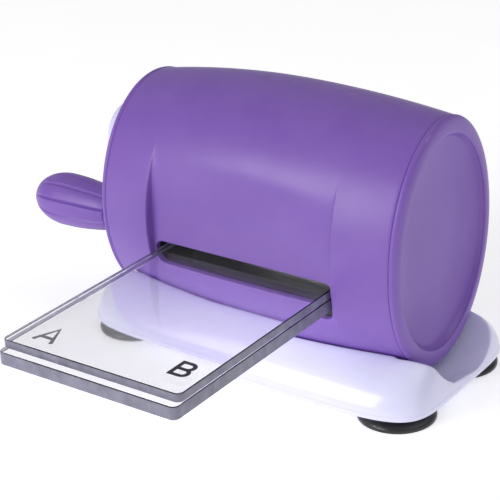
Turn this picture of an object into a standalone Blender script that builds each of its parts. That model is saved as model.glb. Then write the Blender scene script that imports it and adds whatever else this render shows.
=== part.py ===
"""Hand-cranked die cutting machine with its two cutting plates in the nip.

Lengths are written in millimetres about the barrel's middle on the table, and point() turns
them into metres about the row origin. +X runs along the barrel to its closed end, +Y runs from
the feed side to the back, and +Z is up.
"""

import math

import bmesh
import bpy
from mathutils import Vector

MM = 0.001
GAP = 0.3

# Barrel: an ellipse whose half sizes shrink with the square of x, a little more at the crank's end.
BARREL_Y, AXIS_Z = 1.6, 59.3
BARREL_HALF_DEPTH, BARREL_HALF_HEIGHT = 42.2, 51.0
CLOSED_END_SHRINK = (6.4, 3.7)
CRANK_END_SHRINK = (5.8, 6.0)
SHRINK_AT = 65.0
SHELL_END = 62.4
SHELL_WALL = 2.4
PANEL_Y = 36.4
PANEL_HALF_WIDTH = 39.6
PANEL_RAMP = 1.8
SLOT_HALF_WIDTH = 39.2
SLOT_LOW, SLOT_HIGH = 36.5, 51.1

# End ring and oval end cover.
RING_LIP = 57.5
RING_FACE = 65.3
COVER_HALF_DEPTH, COVER_HALF_HEIGHT = 31.2, 41.2
COVER_SEAT = 58.0
COVER_EDGE = 64.9
COVER_WALL = 2.2
DISH_PROFILE = ((0.4, 0.0), (1.1, 0.5), (2.4, 1.2), (3.3, 2.2), (3.8, 3.6), (4.1, 6.4), (4.5, 24.0))
DOME_RISE = 4.4

# Base.
BASE_LOW = 5.0
BASE_HALF_LENGTH, BASE_HALF_DEPTH = 76.0, 41.5
BASE_DOME = 22.8
BASE_TOP = 24.0
BASE_POWER = 6.2
BASE_WALL = 2.6
SCOOP_Y, SCOOP_Z = 4.0, 24.0
SCOOP_HALF_WIDTH, SCOOP_HALF_HEIGHT = 22.5, 16.8
SCOOP_START = 56.0

# Feet.
FOOT_X, FOOT_Y, FOOT_RADIUS = 60.2, 24.0, 14.7

# Plates: the lower one reaches further forward.
PLATE_HALF_WIDTH, PLATE_LENGTH, PLATE_CORNER = 38.0, 152.4, 2.6
LOWER_PLATE = (39.8, 44.7)
UPPER_PLATE = (45.0, 48.3)
LOWER_PLATE_FRONT = -125.3
UPPER_PLATE_FRONT = -122.6

# Rollers, frames and drive.
ROLLER_RADIUS = 12.0
ROLLER_HALF_LENGTH = 40.0
UPPER_Z = UPPER_PLATE[1] + GAP + ROLLER_RADIUS
LOWER_Z = LOWER_PLATE[0] - GAP - ROLLER_RADIUS
FRAME_IN, FRAME_OUT = 44.0, 47.0
FLANGE_END = 55.0
FLANGE_LOW, FLANGE_HIGH = 18.4, 21.2
TIE_LOW = (19.0, 32.2)
TIE_HIGH = (17.0, 88.0)
SCREW_X, SCREW_Y = 51.0, 8.0
CRANK_Z = 77.0
GEAR_TEETH, PINION_TEETH = 16, 10
GEAR_SPAN = (-58.5, -52.0)
PRESSURE_ANGLE = math.radians(25)
BACKLASH = 0.34

# Crank.
ARM_SPAN = (-79.8, -71.7)
HUB_RADIUS, ARM_TIP_RADIUS = 12.5, 9.0
GRIP_Y, GRIP_Z = -9.5, 45.6
GRIP_INNER, GRIP_TIP = -80.3, -120.0
GRIP_PROFILE = ((-80.3, 8.2), (-84.0, 9.0), (-90.0, 9.9), (-97.0, 10.6), (-104.0, 10.8))
GRIP_NOSE = 16.0
GRIP_GROOVES = 10

# The row origin is the middle of the bounding box on the table.
ORIGIN_X = (GRIP_TIP + BASE_HALF_LENGTH) / 2
ORIGIN_Y = (LOWER_PLATE_FRONT + BASE_HALF_DEPTH) / 2

FINISHES = {
    "purple_plastic": ((0.20, 0.09, 0.42), 0.42, 0.0),
    "white_plastic": ((0.80, 0.80, 0.93), 0.25, 0.0),
    "black_rubber": ((0.015, 0.015, 0.018), 0.35, 0.0),
    "clear_acrylic": ((0.86, 0.87, 0.92), 0.05, 0.0),
    "steel": ((0.55, 0.56, 0.58), 0.35, 1.0),
    "bronze": ((0.62, 0.42, 0.20), 0.40, 1.0),
    "grey_nylon": ((0.72, 0.72, 0.70), 0.50, 0.0),
}


def point(x, y, z):
    return Vector(((x - ORIGIN_X) * MM, (y - ORIGIN_Y) * MM, z * MM))


def clear_scene():
    for item in list(bpy.data.objects):
        bpy.data.objects.remove(item, do_unlink=True)
    for item in list(bpy.data.collections):
        bpy.data.collections.remove(item)


def new_collection(name, hidden=False):
    collection = bpy.data.collections.new(name)
    bpy.context.scene.collection.children.link(collection)
    collection.hide_render = hidden
    return collection


def material_for(name, finish):
    colour, roughness, metallic = FINISHES[finish]
    material = bpy.data.materials.new(f"{name}_{finish}")
    material.use_nodes = True
    shader = material.node_tree.nodes["Principled BSDF"]
    shader.inputs["Base Color"].default_value = (*colour, 1.0)
    shader.inputs["Roughness"].default_value = roughness
    shader.inputs["Metallic"].default_value = metallic
    if finish == "clear_acrylic":
        shader.inputs["Transmission Weight"].default_value = 1.0
        shader.inputs["IOR"].default_value = 1.49
    material.diffuse_color = (*colour, 1.0)
    return material


class Workshop:
    """Turns point lists into objects and keeps cutters apart from pieces."""

    def __init__(self):
        self.pieces = new_collection("die_cutting_machine")
        self.cutters = new_collection("cutters", hidden=True)

    def add(self, name, bm, finish, origin):
        bmesh.ops.remove_doubles(bm, verts=bm.verts, dist=1e-7)
        bmesh.ops.recalc_face_normals(bm, faces=bm.faces)
        if bm.calc_volume(signed=True) < 0:
            bmesh.ops.reverse_faces(bm, faces=bm.faces)
        home = point(*origin)
        bmesh.ops.translate(bm, verts=bm.verts, vec=-home)
        mesh = bpy.data.meshes.new(name)
        bm.to_mesh(mesh)
        bm.free()
        item = bpy.data.objects.new(name, mesh)
        item.location = home
        if finish is None:
            self.cutters.objects.link(item)
            item.hide_render = True
            item.display_type = "WIRE"
        else:
            self.pieces.objects.link(item)
            mesh.materials.append(material_for(name, finish))
        return item

    def loft(self, name, rings, finish=None, loop=False, origin=(0, 0, 0)):
        """Joins equal rings of (x, y, z) by quads. A loop closes on itself, and other lofts get caps."""
        bm = bmesh.new()
        rows = [[bm.verts.new(point(*p)) for p in ring] for ring in rings]
        count = len(rows[0])
        pairs = list(zip(rows, rows[1:]))
        if loop:
            pairs.append((rows[-1], rows[0]))
        for first, second in pairs:
            for i in range(count):
                j = (i + 1) % count
                bm.faces.new((first[i], first[j], second[j], second[i]))
        if not loop:
            bm.faces.new(rows[0])
            bm.faces.new(rows[-1])
        return self.add(name, bm, finish, origin)

    def box(self, name, low, high, finish=None, origin=(0, 0, 0)):
        (x0, y0, z0), (x1, y1, z1) = low, high
        rings = [[(x0, y0, z), (x1, y0, z), (x1, y1, z), (x0, y1, z)] for z in (z0, z1)]
        return self.loft(name, rings, finish, origin=origin)

    def turned_x(self, name, profile, centre, finish=None, hollow=False, sides=24, origin=None):
        """A turned piece about an axis along X. The profile holds (x, radius) pairs."""
        y, z = centre
        rings = [circle_x(x, y, z, radius, sides) for x, radius in profile]
        return self.loft(name, rings, finish, hollow, origin or (0, y, z))

    def turned_z(self, name, profile, centre, finish=None, hollow=False, sides=24):
        """A turned piece about an axis along Z. The profile holds (z, radius) pairs."""
        x, y = centre
        rings = [circle_z(x, y, z, radius, sides) for z, radius in profile]
        return self.loft(name, rings, finish, hollow, (x, y, profile[0][0]))


def circle_x(x, y, z, radius, sides=24):
    return ellipse_x(x, y, z, radius, radius, sides)


def ellipse_x(x, y, z, half_depth, half_height, sides=40):
    turns = [2 * math.pi * i / sides for i in range(sides)]
    return [(x, y + half_depth * math.sin(t), z + half_height * math.cos(t)) for t in turns]


def circle_z(x, y, z, radius, sides=24):
    turns = [2 * math.pi * i / sides for i in range(sides)]
    return [(x + radius * math.cos(t), y + radius * math.sin(t), z) for t in turns]


def cut(piece, *cutters, operation="DIFFERENCE"):
    for cutter in cutters:
        boolean = piece.modifiers.new(cutter.name, "BOOLEAN")
        boolean.operation = operation
        boolean.solver = "EXACT"
        boolean.object = cutter


def barrel_half_sizes(x, inset=0.0):
    square = (x / SHRINK_AT) ** 2
    depth_shrink, height_shrink = CLOSED_END_SHRINK if x > 0 else CRANK_END_SHRINK
    half_depth = BARREL_HALF_DEPTH - depth_shrink * square - inset
    return half_depth, BARREL_HALF_HEIGHT - height_shrink * square - inset


def barrel_ring(x, inset, sides=40):
    return ellipse_x(x, BARREL_Y, AXIS_Z, *barrel_half_sizes(x, inset), sides)


# ---------------------------------------------------------------- barrel


def front_arc(x, inset, panel, steps=20):
    """Half an ellipse from top to bottom past the feed side, held back to the flat panel."""
    half_depth, half_height = barrel_half_sizes(x, inset)
    arc = []
    for i in range(steps + 1):
        turn = math.pi * i / steps
        reach = min(max(half_depth * math.sin(turn), GAP / 2), panel)
        arc.append((x, BARREL_Y - reach, AXIS_Z + half_height * math.cos(turn)))
    return arc


def shell_section(x):
    ramp = max(0.0, abs(x) - PANEL_HALF_WIDTH) / PANEL_RAMP
    outer = front_arc(x, 0.0, PANEL_Y if ramp <= 0 else PANEL_Y + 8 * ramp)
    pocket = abs(x) <= PANEL_HALF_WIDTH + SHELL_WALL
    inner = front_arc(x, SHELL_WALL, PANEL_Y - SHELL_WALL if pocket else BARREL_HALF_DEPTH)
    return outer + inner[::-1]


def shell_stations():
    wall = PANEL_HALF_WIDTH + SHELL_WALL
    right = [12, 26, PANEL_HALF_WIDTH, PANEL_HALF_WIDTH + PANEL_RAMP, wall, wall + 0.6, 48, 54, 59.5]
    right.append(SHELL_END)
    return [-x for x in reversed(right)] + right


def slot_cutter(shop, name, side):
    """A long slot with rounded corners, cut right through the panel."""
    corner, middle = 3.0, (SLOT_LOW + SLOT_HIGH) / 2
    half = (SLOT_HIGH - SLOT_LOW) / 2
    outline = rounded_rectangle(SLOT_HALF_WIDTH, half, corner, 4)
    rings = [[(a, side * y, middle + b) for a, b in outline] for y in (26.0, 48.0)]
    return shop.loft(name, rings)


def rounded_rectangle(half_a, half_b, radius, steps):
    outline = []
    for sa, sb, start in ((1, 1, 0), (-1, 1, 90), (-1, -1, 180), (1, -1, 270)):
        for i in range(steps + 1):
            turn = math.radians(start + 90 * i / steps)
            a = sa * (half_a - radius) + radius * math.cos(turn)
            outline.append((a, sb * (half_b - radius) + radius * math.sin(turn)))
    return outline


def screw_holes(shop):
    holes = []
    for i, (sx, sy) in enumerate(((1, -1), (1, 1), (-1, -1), (-1, 1))):
        centre = (sx * SCREW_X, sy * SCREW_Y)
        holes.append(shop.turned_z(f"cut_screw_{i}", ((2, 2.0), (30, 2.0)), centre, sides=16))
    return holes


def build_shells(shop, holes):
    sections = [shell_section(x) for x in shell_stations()]
    front = shop.loft("front_shell", sections, "purple_plastic")
    mirrored = [[(x, 2 * BARREL_Y - y, z) for x, y, z in section] for section in sections]
    rear = shop.loft("rear_shell", mirrored, "purple_plastic")
    cut(front, slot_cutter(shop, "cut_slot_front", -1), holes[0], holes[2])
    cut(rear, slot_cutter(shop, "cut_slot_rear", 1), holes[1], holes[3])


def end_ring(shop, name, side):
    """The rounded rim beyond the groove, with a lip inside the shells."""
    groove, lip = SHELL_END + GAP, -SHELL_WALL - GAP
    shell = barrel_half_sizes(side * SHELL_END)
    cover = COVER_HALF_DEPTH + 0.35, COVER_HALF_HEIGHT + 0.35
    bead = ((0.0, -0.7), (0.2, 0.1), (0.8, 0.3), (1.5, -0.2), (2.1, -1.3), (2.5, -2.8))
    stations = [(RING_LIP, shell, lip), (groove, shell, lip)]
    stations += [(groove + reach, shell, grow) for reach, grow in bead]
    stations += [(RING_FACE, cover, 0.9), (RING_FACE - 0.3, cover, 0.0), (RING_LIP, cover, 0.0)]
    rings = [
        ellipse_x(side * x, BARREL_Y, AXIS_Z, depth + grow, height + grow)
        for x, (depth, height), grow in stations
    ]
    return shop.loft(name, rings, "purple_plastic", loop=True)


def cover_rings(side, profile, edge, wall):
    """Rings of an oval cover from its seat over the face and back inside. The profile holds
    (drop below the edge, inset from the rim) pairs, so a negative drop is a dome."""
    face = [(edge - drop, inset) for drop, inset in profile]
    back = [(x - wall, inset) for x, inset in face if inset > wall + GAP]
    outline = face[::-1] + [(COVER_SEAT, 0.0), (COVER_SEAT, wall)] + back
    return [
        ellipse_x(side * x, BARREL_Y, AXIS_Z, COVER_HALF_DEPTH - inset, COVER_HALF_HEIGHT - inset)
        for x, inset in outline
    ]


def dome_profile(rise):
    profile = []
    for turn in (0, 20, 40, 58, 74):
        across = math.cos(math.radians(turn))
        profile.append((0.3 - rise * math.sin(math.radians(turn)), 28.0 * (1 - across)))
    return profile


def build_ends(shop):
    end_ring(shop, "right_end_ring", 1)
    end_ring(shop, "left_end_ring", -1)
    dish = cover_rings(1, DISH_PROFILE, COVER_EDGE, COVER_WALL)
    shop.loft("right_cover", dish, "purple_plastic")
    dome = cover_rings(-1, dome_profile(DOME_RISE), COVER_EDGE, COVER_WALL)
    left = shop.loft("left_cover", dome, "purple_plastic")
    bore = shop.turned_x("cut_cover_bore", ((-90, 6.3), (-60, 6.3)), (0, CRANK_Z))
    cut(left, bore)


# ---------------------------------------------------------------- base


def base_ring(z, inset=0.0, count=56):
    rise = (z - BASE_LOW) / BASE_DOME
    half_length = BASE_HALF_LENGTH - 4.2 * ((z - BASE_LOW) / 17.0) ** 2 - inset
    half_depth = BASE_HALF_DEPTH * math.sqrt(1 - rise * rise) - inset
    ring = []
    for i in range(count):
        turn = 2 * math.pi * (i + 0.5) / count
        c, s = math.cos(turn), math.sin(turn)
        x = half_length * math.copysign(abs(c) ** (2 / BASE_POWER), c)
        y = half_depth * math.copysign(abs(s) ** (2 / BASE_POWER), s)
        ring.append((x, y, z))
    return ring


def scoop(shop, name, side, grow=0.0):
    rings = [
        ellipse_x(side * x, SCOOP_Y, SCOOP_Z, SCOOP_HALF_WIDTH + grow, SCOOP_HALF_HEIGHT + grow, 32)
        for x in (SCOOP_START - grow, 95.0)
    ]
    return shop.loft(name, rings)


def barrel_envelope(shop, name, grow):
    """The barrel's outside, grown all round, and a little wider at the end rings."""
    stations = [(x, grow) for x in (0, 20, 36, 48, 58)]
    stations += [(60.5, grow + 0.7), (66, grow + 0.8), (75, grow + 1.0)]
    both = [(-x, more) for x, more in stations[:0:-1]] + stations
    return shop.loft(name, [barrel_ring(x, -more, 48) for x, more in both])


def foot_places():
    corners = (("fr", 1, -1), ("fl", -1, -1), ("br", 1, 1), ("bl", -1, 1))
    return [(name, sx * FOOT_X, sy * FOOT_Y) for name, sx, sy in corners]


def base_hollow(shop):
    """The space under the base's skin, less the bosses that take the foot studs."""
    levels = (3.0, 5.0, 10.0, 15.0, BASE_TOP - 4.0)
    rings = [base_ring(max(z, BASE_LOW), BASE_WALL) for z in levels]
    rings[0] = [(x, y, 3.0) for x, y, _ in rings[0]]
    hollow = shop.loft("cut_base_hollow", rings)
    cut(hollow, barrel_envelope(shop, "keep_barrel_floor", 1.9))
    for side, name in ((1, "keep_scoop_right"), (-1, "keep_scoop_left")):
        cut(hollow, scoop(shop, name, side, 1.9))
    for name, x, y in foot_places():
        cut(hollow, shop.turned_z(f"keep_boss_{name}", ((6.5, 6.0), (40, 6.0)), (x, y), sides=20))
    return hollow


def stud_holes(shop):
    return [
        shop.turned_z(f"cut_stud_{name}", ((2, 2.8), (11.5, 2.8)), (x, y), sides=16)
        for name, x, y in foot_places()
    ]


def build_base(shop, holes, studs):
    levels = (BASE_LOW, 7.0, 10.0, 13.0, 16.0, 18.5, 20.5, 22.3, BASE_TOP)
    shell = shop.loft("base_shell", [base_ring(z) for z in levels], "white_plastic")
    cut(shell, base_hollow(shop), barrel_envelope(shop, "cut_barrel_seat", GAP))
    cut(shell, scoop(shop, "cut_scoop_right", 1), scoop(shop, "cut_scoop_left", -1))
    cut(shell, *holes, *studs)
    inset = BASE_WALL + GAP
    rings = [[(x, y, z) for x, y, _ in base_ring(BASE_LOW, inset)] for z in (BASE_LOW, 6.2)]
    bottom = shop.loft("base_bottom", rings, "white_plastic")
    cut(bottom, *holes, *studs)
    for side, name in ((1, "right"), (-1, "left")):
        cut(bottom, scoop(shop, f"cut_bottom_{name}", side, 2.3))


def build_feet(shop):
    cup = (
        (0.0, FOOT_RADIUS), (1.0, FOOT_RADIUS), (2.4, FOOT_RADIUS - 1.0), (4.0, 9.5), (4.6, 6.0),
        (4.6, 3.0), (3.2, 3.0), (3.2, 6.5), (2.0, 10.0), (0.0, 13.0),
    )
    stud = ((1.6, 5.0), (2.9, 5.0), (2.9, 2.5), (11.2, 2.5))
    for name, x, y in foot_places():
        shop.turned_z(f"foot_{name}", cup, (x, y), "black_rubber", hollow=True, sides=32)
        shop.turned_z(f"foot_stud_{name}", stud, (x, y), "steel", sides=20)


def build_screws(shop):
    shape = ((3.3, 2.4), (3.7, 3.0), (4.7, 3.0), (4.7, 1.6), (24.0, 1.6))
    for name, sx, sy in (("fr", 1, -1), ("fl", -1, -1), ("br", 1, 1), ("bl", -1, 1)):
        shop.turned_z(f"frame_screw_{name}", shape, (sx * SCREW_X, sy * SCREW_Y), "steel", sides=16)


# ---------------------------------------------------------------- frames


def side_frame(shop, name, side, holes):
    half = [(11, FLANGE_LOW), (24, 30), (27, 46), (27, 72), (24, 85), (15, 97)]
    outline = half + [(-y, z) for y, z in reversed(half)]
    rings = [[(side * x, y, z) for y, z in outline] for x in (FRAME_IN, FRAME_OUT)]
    frame = shop.loft(name, rings, "steel")
    inner, outer = sorted((side * (FRAME_OUT - 1), side * FLANGE_END))
    flange = shop.box(f"join_flange_{name}", (inner, -11, FLANGE_LOW), (outer, 11, FLANGE_HIGH))
    cut(frame, flange, operation="UNION")
    bores = [("upper", 0, UPPER_Z, 6.3), ("lower", 0, LOWER_Z, 5.8)]
    if side < 0:
        bores.append(("crank", 0, CRANK_Z, 5.8))
    for i, (y, z) in enumerate((TIE_LOW, TIE_HIGH)):
        bores += [(f"tie_{i}_back", y, z, 2.3), (f"tie_{i}_front", -y, z, 2.3)]
    for label, y, z, radius in bores:
        span = ((side * 40, radius), (side * 52, radius))
        cut(frame, shop.turned_x(f"cut_{name}_{label}", span, (y, z)))
    cut(frame, *holes)


def build_frames(shop, holes):
    side_frame(shop, "side_frame_right", 1, (holes[0], holes[1]))
    side_frame(shop, "side_frame_left", -1, (holes[2], holes[3]))
    bar = ((-48.5, 2.0), (-43.7, 2.0), (-43.7, 3.0), (43.7, 3.0), (43.7, 2.0), (48.5, 2.0))
    for label, (y, z) in (("lower", TIE_LOW), ("upper", TIE_HIGH)):
        shop.turned_x(f"tie_bar_{label}_front", bar, (-y, z), "steel", sides=16)
        shop.turned_x(f"tie_bar_{label}_rear", bar, (y, z), "steel", sides=16)
    for name, side in (("front", -1), ("rear", 1)):
        near, far = sorted((side * 13.2, side * 29.8))
        low, high = (-43.6, near, 35.6), (43.6, far, 39.2)
        shop.box(f"platen_{name}", low, high, "grey_nylon")


def build_bushes(shop):
    def bush(name, span, centre, inner, outer):
        start, end = span
        profile = ((start, outer), (end, outer), (end, inner), (start, inner))
        shop.turned_x(name, profile, centre, "bronze", hollow=True)

    for name, side in (("right", 1), ("left", -1)):
        span = (side * 43.7, side * 48.4)
        bush(f"bush_upper_{name}", span, (0, UPPER_Z), 4.3, 6.0)
        bush(f"bush_lower_{name}", span, (0, LOWER_Z), 3.8, 5.5)
    bush("bush_crank_inner", (-48.4, -43.7), (0, CRANK_Z), 3.8, 5.5)
    bush("bush_crank_outer", (-71.2, -64.8), (0, CRANK_Z), 3.8, 6.0)


# ---------------------------------------------------------------- moving pieces


def build_rollers(shop):
    half = ROLLER_HALF_LENGTH
    for name, z, neck in (("upper", UPPER_Z, 4.0), ("lower", LOWER_Z, 3.5)):
        left = -60.0 if name == "upper" else -50.0
        axle = (
            (left, neck), (-half - 1, neck), (-half - 1, 5.0), (half + 1, 5.0), (half + 1, neck), (50, neck),
        )
        shop.turned_x(f"{name}_axle", axle, (0, z), "steel")
        sleeve = (
            (-half, 11.4), (-half + 0.6, 12.0), (half - 0.6, 12.0), (half, 11.4), (half, 5.3), (-half, 5.3),
        )
        shop.turned_x(f"{name}_roller", sleeve, (0, z), "steel", hollow=True, sides=36)


def gear_outline(teeth, module, phase):
    """Involute teeth as (radius, angle), six points to a tooth, thinned by the backlash."""
    pitch = teeth * module / 2
    base = pitch * math.cos(PRESSURE_ANGLE)
    tip, root = pitch + 0.85 * module, pitch - 1.15 * module

    def half_angle(radius):
        turn = math.acos(min(1.0, base / max(radius, base)))
        spread = math.tan(PRESSURE_ANGLE) - PRESSURE_ANGLE - (math.tan(turn) - turn)
        return math.pi / (2 * teeth) - BACKLASH / (2 * pitch) + spread

    outline = []
    for tooth in range(teeth):
        middle = phase + 2 * math.pi * tooth / teeth
        for radius in (root, pitch, tip):
            outline.append((radius, middle - half_angle(radius)))
        for radius in (tip, pitch, root):
            outline.append((radius, middle + half_angle(radius)))
    return outline


def gear(shop, name, teeth, phase, centre_z, bore, finish):
    module = 2 * (CRANK_Z - UPPER_Z) / (GEAR_TEETH + PINION_TEETH)
    outline = gear_outline(teeth, module, phase)
    rings = []
    left, right = GEAR_SPAN
    for x, inside in ((left, False), (right, False), (right, True), (left, True)):
        radii = [(bore if inside else radius, turn) for radius, turn in outline]
        rings.append([(x, r * math.sin(t), centre_z + r * math.cos(t)) for r, t in radii])
    shop.loft(name, rings, finish, loop=True, origin=(0, 0, centre_z))


def build_gears(shop):
    gear(shop, "drive_gear", GEAR_TEETH, 0.0, UPPER_Z, 4.3, "grey_nylon")
    half_pitch = math.pi / PINION_TEETH
    gear(shop, "pinion", PINION_TEETH, math.pi + half_pitch, CRANK_Z, 3.8, "grey_nylon")


def arm_outline(inset, steps=14):
    """Two arcs joined by their outer tangents: the hub and the smaller grip end."""
    dy, dz = GRIP_Y, GRIP_Z - CRANK_Z
    length, heading = math.hypot(dy, dz), math.atan2(dz, dy)
    lean = math.acos((HUB_RADIUS - ARM_TIP_RADIUS) / length)
    outline = []
    for centre, radius, start, end in (
        ((0.0, CRANK_Z), HUB_RADIUS - inset, lean, 2 * math.pi - lean),
        ((GRIP_Y, GRIP_Z), ARM_TIP_RADIUS - inset, -lean, lean),
    ):
        for i in range(steps + 1):
            turn = heading + start + (end - start) * i / steps
            outline.append((centre[0] + radius * math.cos(turn), centre[1] + radius * math.sin(turn)))
    return outline


def build_crank(shop):
    hub = (0, 0, CRANK_Z)
    shaft = ((-79.6, 3.1), (-79.2, 3.5), (-43.7, 3.5))
    shop.turned_x("crank_shaft", shaft, (0, CRANK_Z), "steel")
    outer, inner = ARM_SPAN
    steps = ((outer, 2.2), (outer + 0.7, 0.8), (outer + 2.0, 0.0), (inner - 1.0, 0.0), (inner, 1.0))
    rings = [[(x, y, z) for y, z in arm_outline(inset)] for x, inset in steps]
    arm = shop.loft("crank_arm", rings, "white_plastic", origin=hub)
    cut(arm, shop.turned_x("cut_arm_hub", ((-90, 3.8), (-60, 3.8)), (0, CRANK_Z)))
    cut(arm, shop.turned_x("cut_arm_pin", ((-90, 2.8), (-60, 2.8)), (GRIP_Y, GRIP_Z)))
    cap = ((-80.1, 7.0), (-81.0, 6.8), (-81.8, 5.6), (-82.2, 3.0))
    shop.turned_x("crank_cap", cap, (0, CRANK_Z), "white_plastic")
    pin = ((-72.2, 2.5), (-112.0, 2.5), (-112.6, 1.9))
    shop.turned_x("grip_pin", pin, (GRIP_Y, GRIP_Z), "steel", sides=16, origin=hub)


def grip_section(x, radius, groove):
    sides = 4 * GRIP_GROOVES
    ring = []
    for i in range(sides):
        turn = 2 * math.pi * i / sides
        reach = radius - groove if i % 4 == 0 else radius
        ring.append((x, GRIP_Y + reach * math.sin(turn), GRIP_Z + reach * math.cos(turn)))
    return ring


def build_grip(shop):
    stations = [(x, radius, 0.7) for x, radius in GRIP_PROFILE]
    widest = GRIP_PROFILE[-1][1]
    for turn in (25, 45, 62, 76, 85):
        x = GRIP_TIP + GRIP_NOSE * (1 - math.sin(math.radians(turn)))
        stations.append((x, widest * math.cos(math.radians(turn)), 0.7 * math.cos(math.radians(turn))))
    rings = [grip_section(x, radius, groove) for x, radius, groove in stations]
    rings[-1] = [(GRIP_TIP, y, z) for _, y, z in rings[-1]]
    rings.insert(0, grip_section(GRIP_INNER, GRIP_PROFILE[0][1] - 0.8, 0.4))
    rings[1] = grip_section(GRIP_INNER - 0.8, GRIP_PROFILE[0][1], 0.7)
    grip = shop.loft("grip", rings, "purple_plastic", origin=(0, GRIP_Y, GRIP_Z))
    cut(grip, shop.turned_x("cut_grip_bore", ((-70, 2.8), (-113.2, 2.8)), (GRIP_Y, GRIP_Z), sides=16))


def plate(shop, name, front, levels):
    middle = front + PLATE_LENGTH / 2
    low, high = levels
    rings = []
    for z, inset in ((low, 0.4), (low + 0.4, 0.0), (high - 0.4, 0.0), (high, 0.4)):
        half_width, half_length = PLATE_HALF_WIDTH - inset, PLATE_LENGTH / 2 - inset
        outline = rounded_rectangle(half_width, half_length, PLATE_CORNER - inset, 5)
        rings.append([(a, middle + b, z) for a, b in outline])
    shop.loft(name, rings, "clear_acrylic")


def main():
    clear_scene()
    shop = Workshop()
    holes, studs = screw_holes(shop), stud_holes(shop)
    build_shells(shop, holes)
    build_ends(shop)
    build_base(shop, holes, studs)
    build_feet(shop)
    build_screws(shop)
    build_frames(shop, holes)
    build_bushes(shop)
    build_rollers(shop)
    build_gears(shop)
    build_crank(shop)
    build_grip(shop)
    plate(shop, "plate_lower", LOWER_PLATE_FRONT, LOWER_PLATE)
    plate(shop, "plate_upper", UPPER_PLATE_FRONT, UPPER_PLATE)


if __name__ == "__main__":
    main()
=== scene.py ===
"""Looks for a hand-cranked die cutting machine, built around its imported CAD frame.

Sizes are in millimetres about the barrel's middle on the table, as a maker's drawing has them,
and place() turns them into metres about the row origin. Each sub-assembly is a class that holds
its sizes, makes its meshes and hands them to the bench, which dresses them and rides them on
their CAD body.
"""

import logging
import math
from collections.abc import Iterable, Sequence
from dataclasses import dataclass
from enum import Enum

import bmesh
import bpy
from mathutils import Matrix, Vector


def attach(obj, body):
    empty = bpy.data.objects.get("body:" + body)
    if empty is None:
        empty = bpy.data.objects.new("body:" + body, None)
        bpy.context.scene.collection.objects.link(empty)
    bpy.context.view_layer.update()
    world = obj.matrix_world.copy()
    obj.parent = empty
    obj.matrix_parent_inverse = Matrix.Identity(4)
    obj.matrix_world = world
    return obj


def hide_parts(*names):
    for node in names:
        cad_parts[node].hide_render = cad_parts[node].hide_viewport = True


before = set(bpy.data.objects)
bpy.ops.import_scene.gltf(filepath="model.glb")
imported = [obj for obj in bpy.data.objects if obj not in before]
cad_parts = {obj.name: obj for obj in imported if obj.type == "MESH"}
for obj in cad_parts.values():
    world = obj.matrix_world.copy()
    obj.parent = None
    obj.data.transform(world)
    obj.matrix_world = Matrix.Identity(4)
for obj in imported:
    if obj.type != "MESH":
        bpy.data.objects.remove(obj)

logging.basicConfig(level=logging.INFO, format="%(name)s: %(message)s")
LOG = logging.getLogger("die_cutter")

MM = 0.001
ORIGIN_X, ORIGIN_Y = -22.0, -41.9
FAR = 99.0

Point = tuple[float, float, float]
Ring = list[Point]
Pair = tuple[float, float]
Colour = tuple[float, float, float]


class Body(Enum):
    """The CAD bodies that pieces ride on."""

    HOUSING = "housing"
    UPPER = "upper_roller_set"
    LOWER = "lower_roller_set"
    CRANK = "crank"
    GRIP = "grip"
    PLATES = "plates"


class Slot(Enum):
    """The record's material slots."""

    PURPLE = "purple_shell"
    WHITE = "white_base"
    RUBBER = "black_rubber"
    ACRYLIC = "clear_acrylic"
    STEEL = "steel"
    BRONZE = "bronze"
    NYLON = "grey_nylon"


# ---------------------------------------------------------------- shader groups


class ShaderGroup:
    """One shader node group with named inputs and outputs, built once and used in many materials."""

    def __init__(
        self, name: str, inputs: dict[str, float | Colour], output: str, colour: bool = False
    ) -> None:
        """Makes the group and its sockets.

        Args:
            name: The group's name.
            inputs: Socket names with their first values. Three numbers make a colour socket.
            output: The name of its one output.
            colour: True if the output is a colour and not a number.
        """
        self.tree = bpy.data.node_groups.new(name, "ShaderNodeTree")
        for label, value in inputs.items():
            kind = "NodeSocketColor" if isinstance(value, tuple) else "NodeSocketFloat"
            socket = self.tree.interface.new_socket(name=label, in_out="INPUT", socket_type=kind)
            socket.default_value = (*value, 1.0) if isinstance(value, tuple) else value
        kind = "NodeSocketColor" if colour else "NodeSocketFloat"
        self.tree.interface.new_socket(name=output, in_out="OUTPUT", socket_type=kind)
        self.source = self.tree.nodes.new("NodeGroupInput")
        self.sink = self.tree.nodes.new("NodeGroupOutput")
        self.wiring = Wiring(self.tree)

    def given(self, label: str) -> bpy.types.NodeSocket:
        """The group's own input of that name."""
        return self.source.outputs[label]

    def gives(self, socket: bpy.types.NodeSocket) -> None:
        """Links a socket to the group's output."""
        self.tree.links.new(socket, self.sink.inputs[0])


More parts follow.
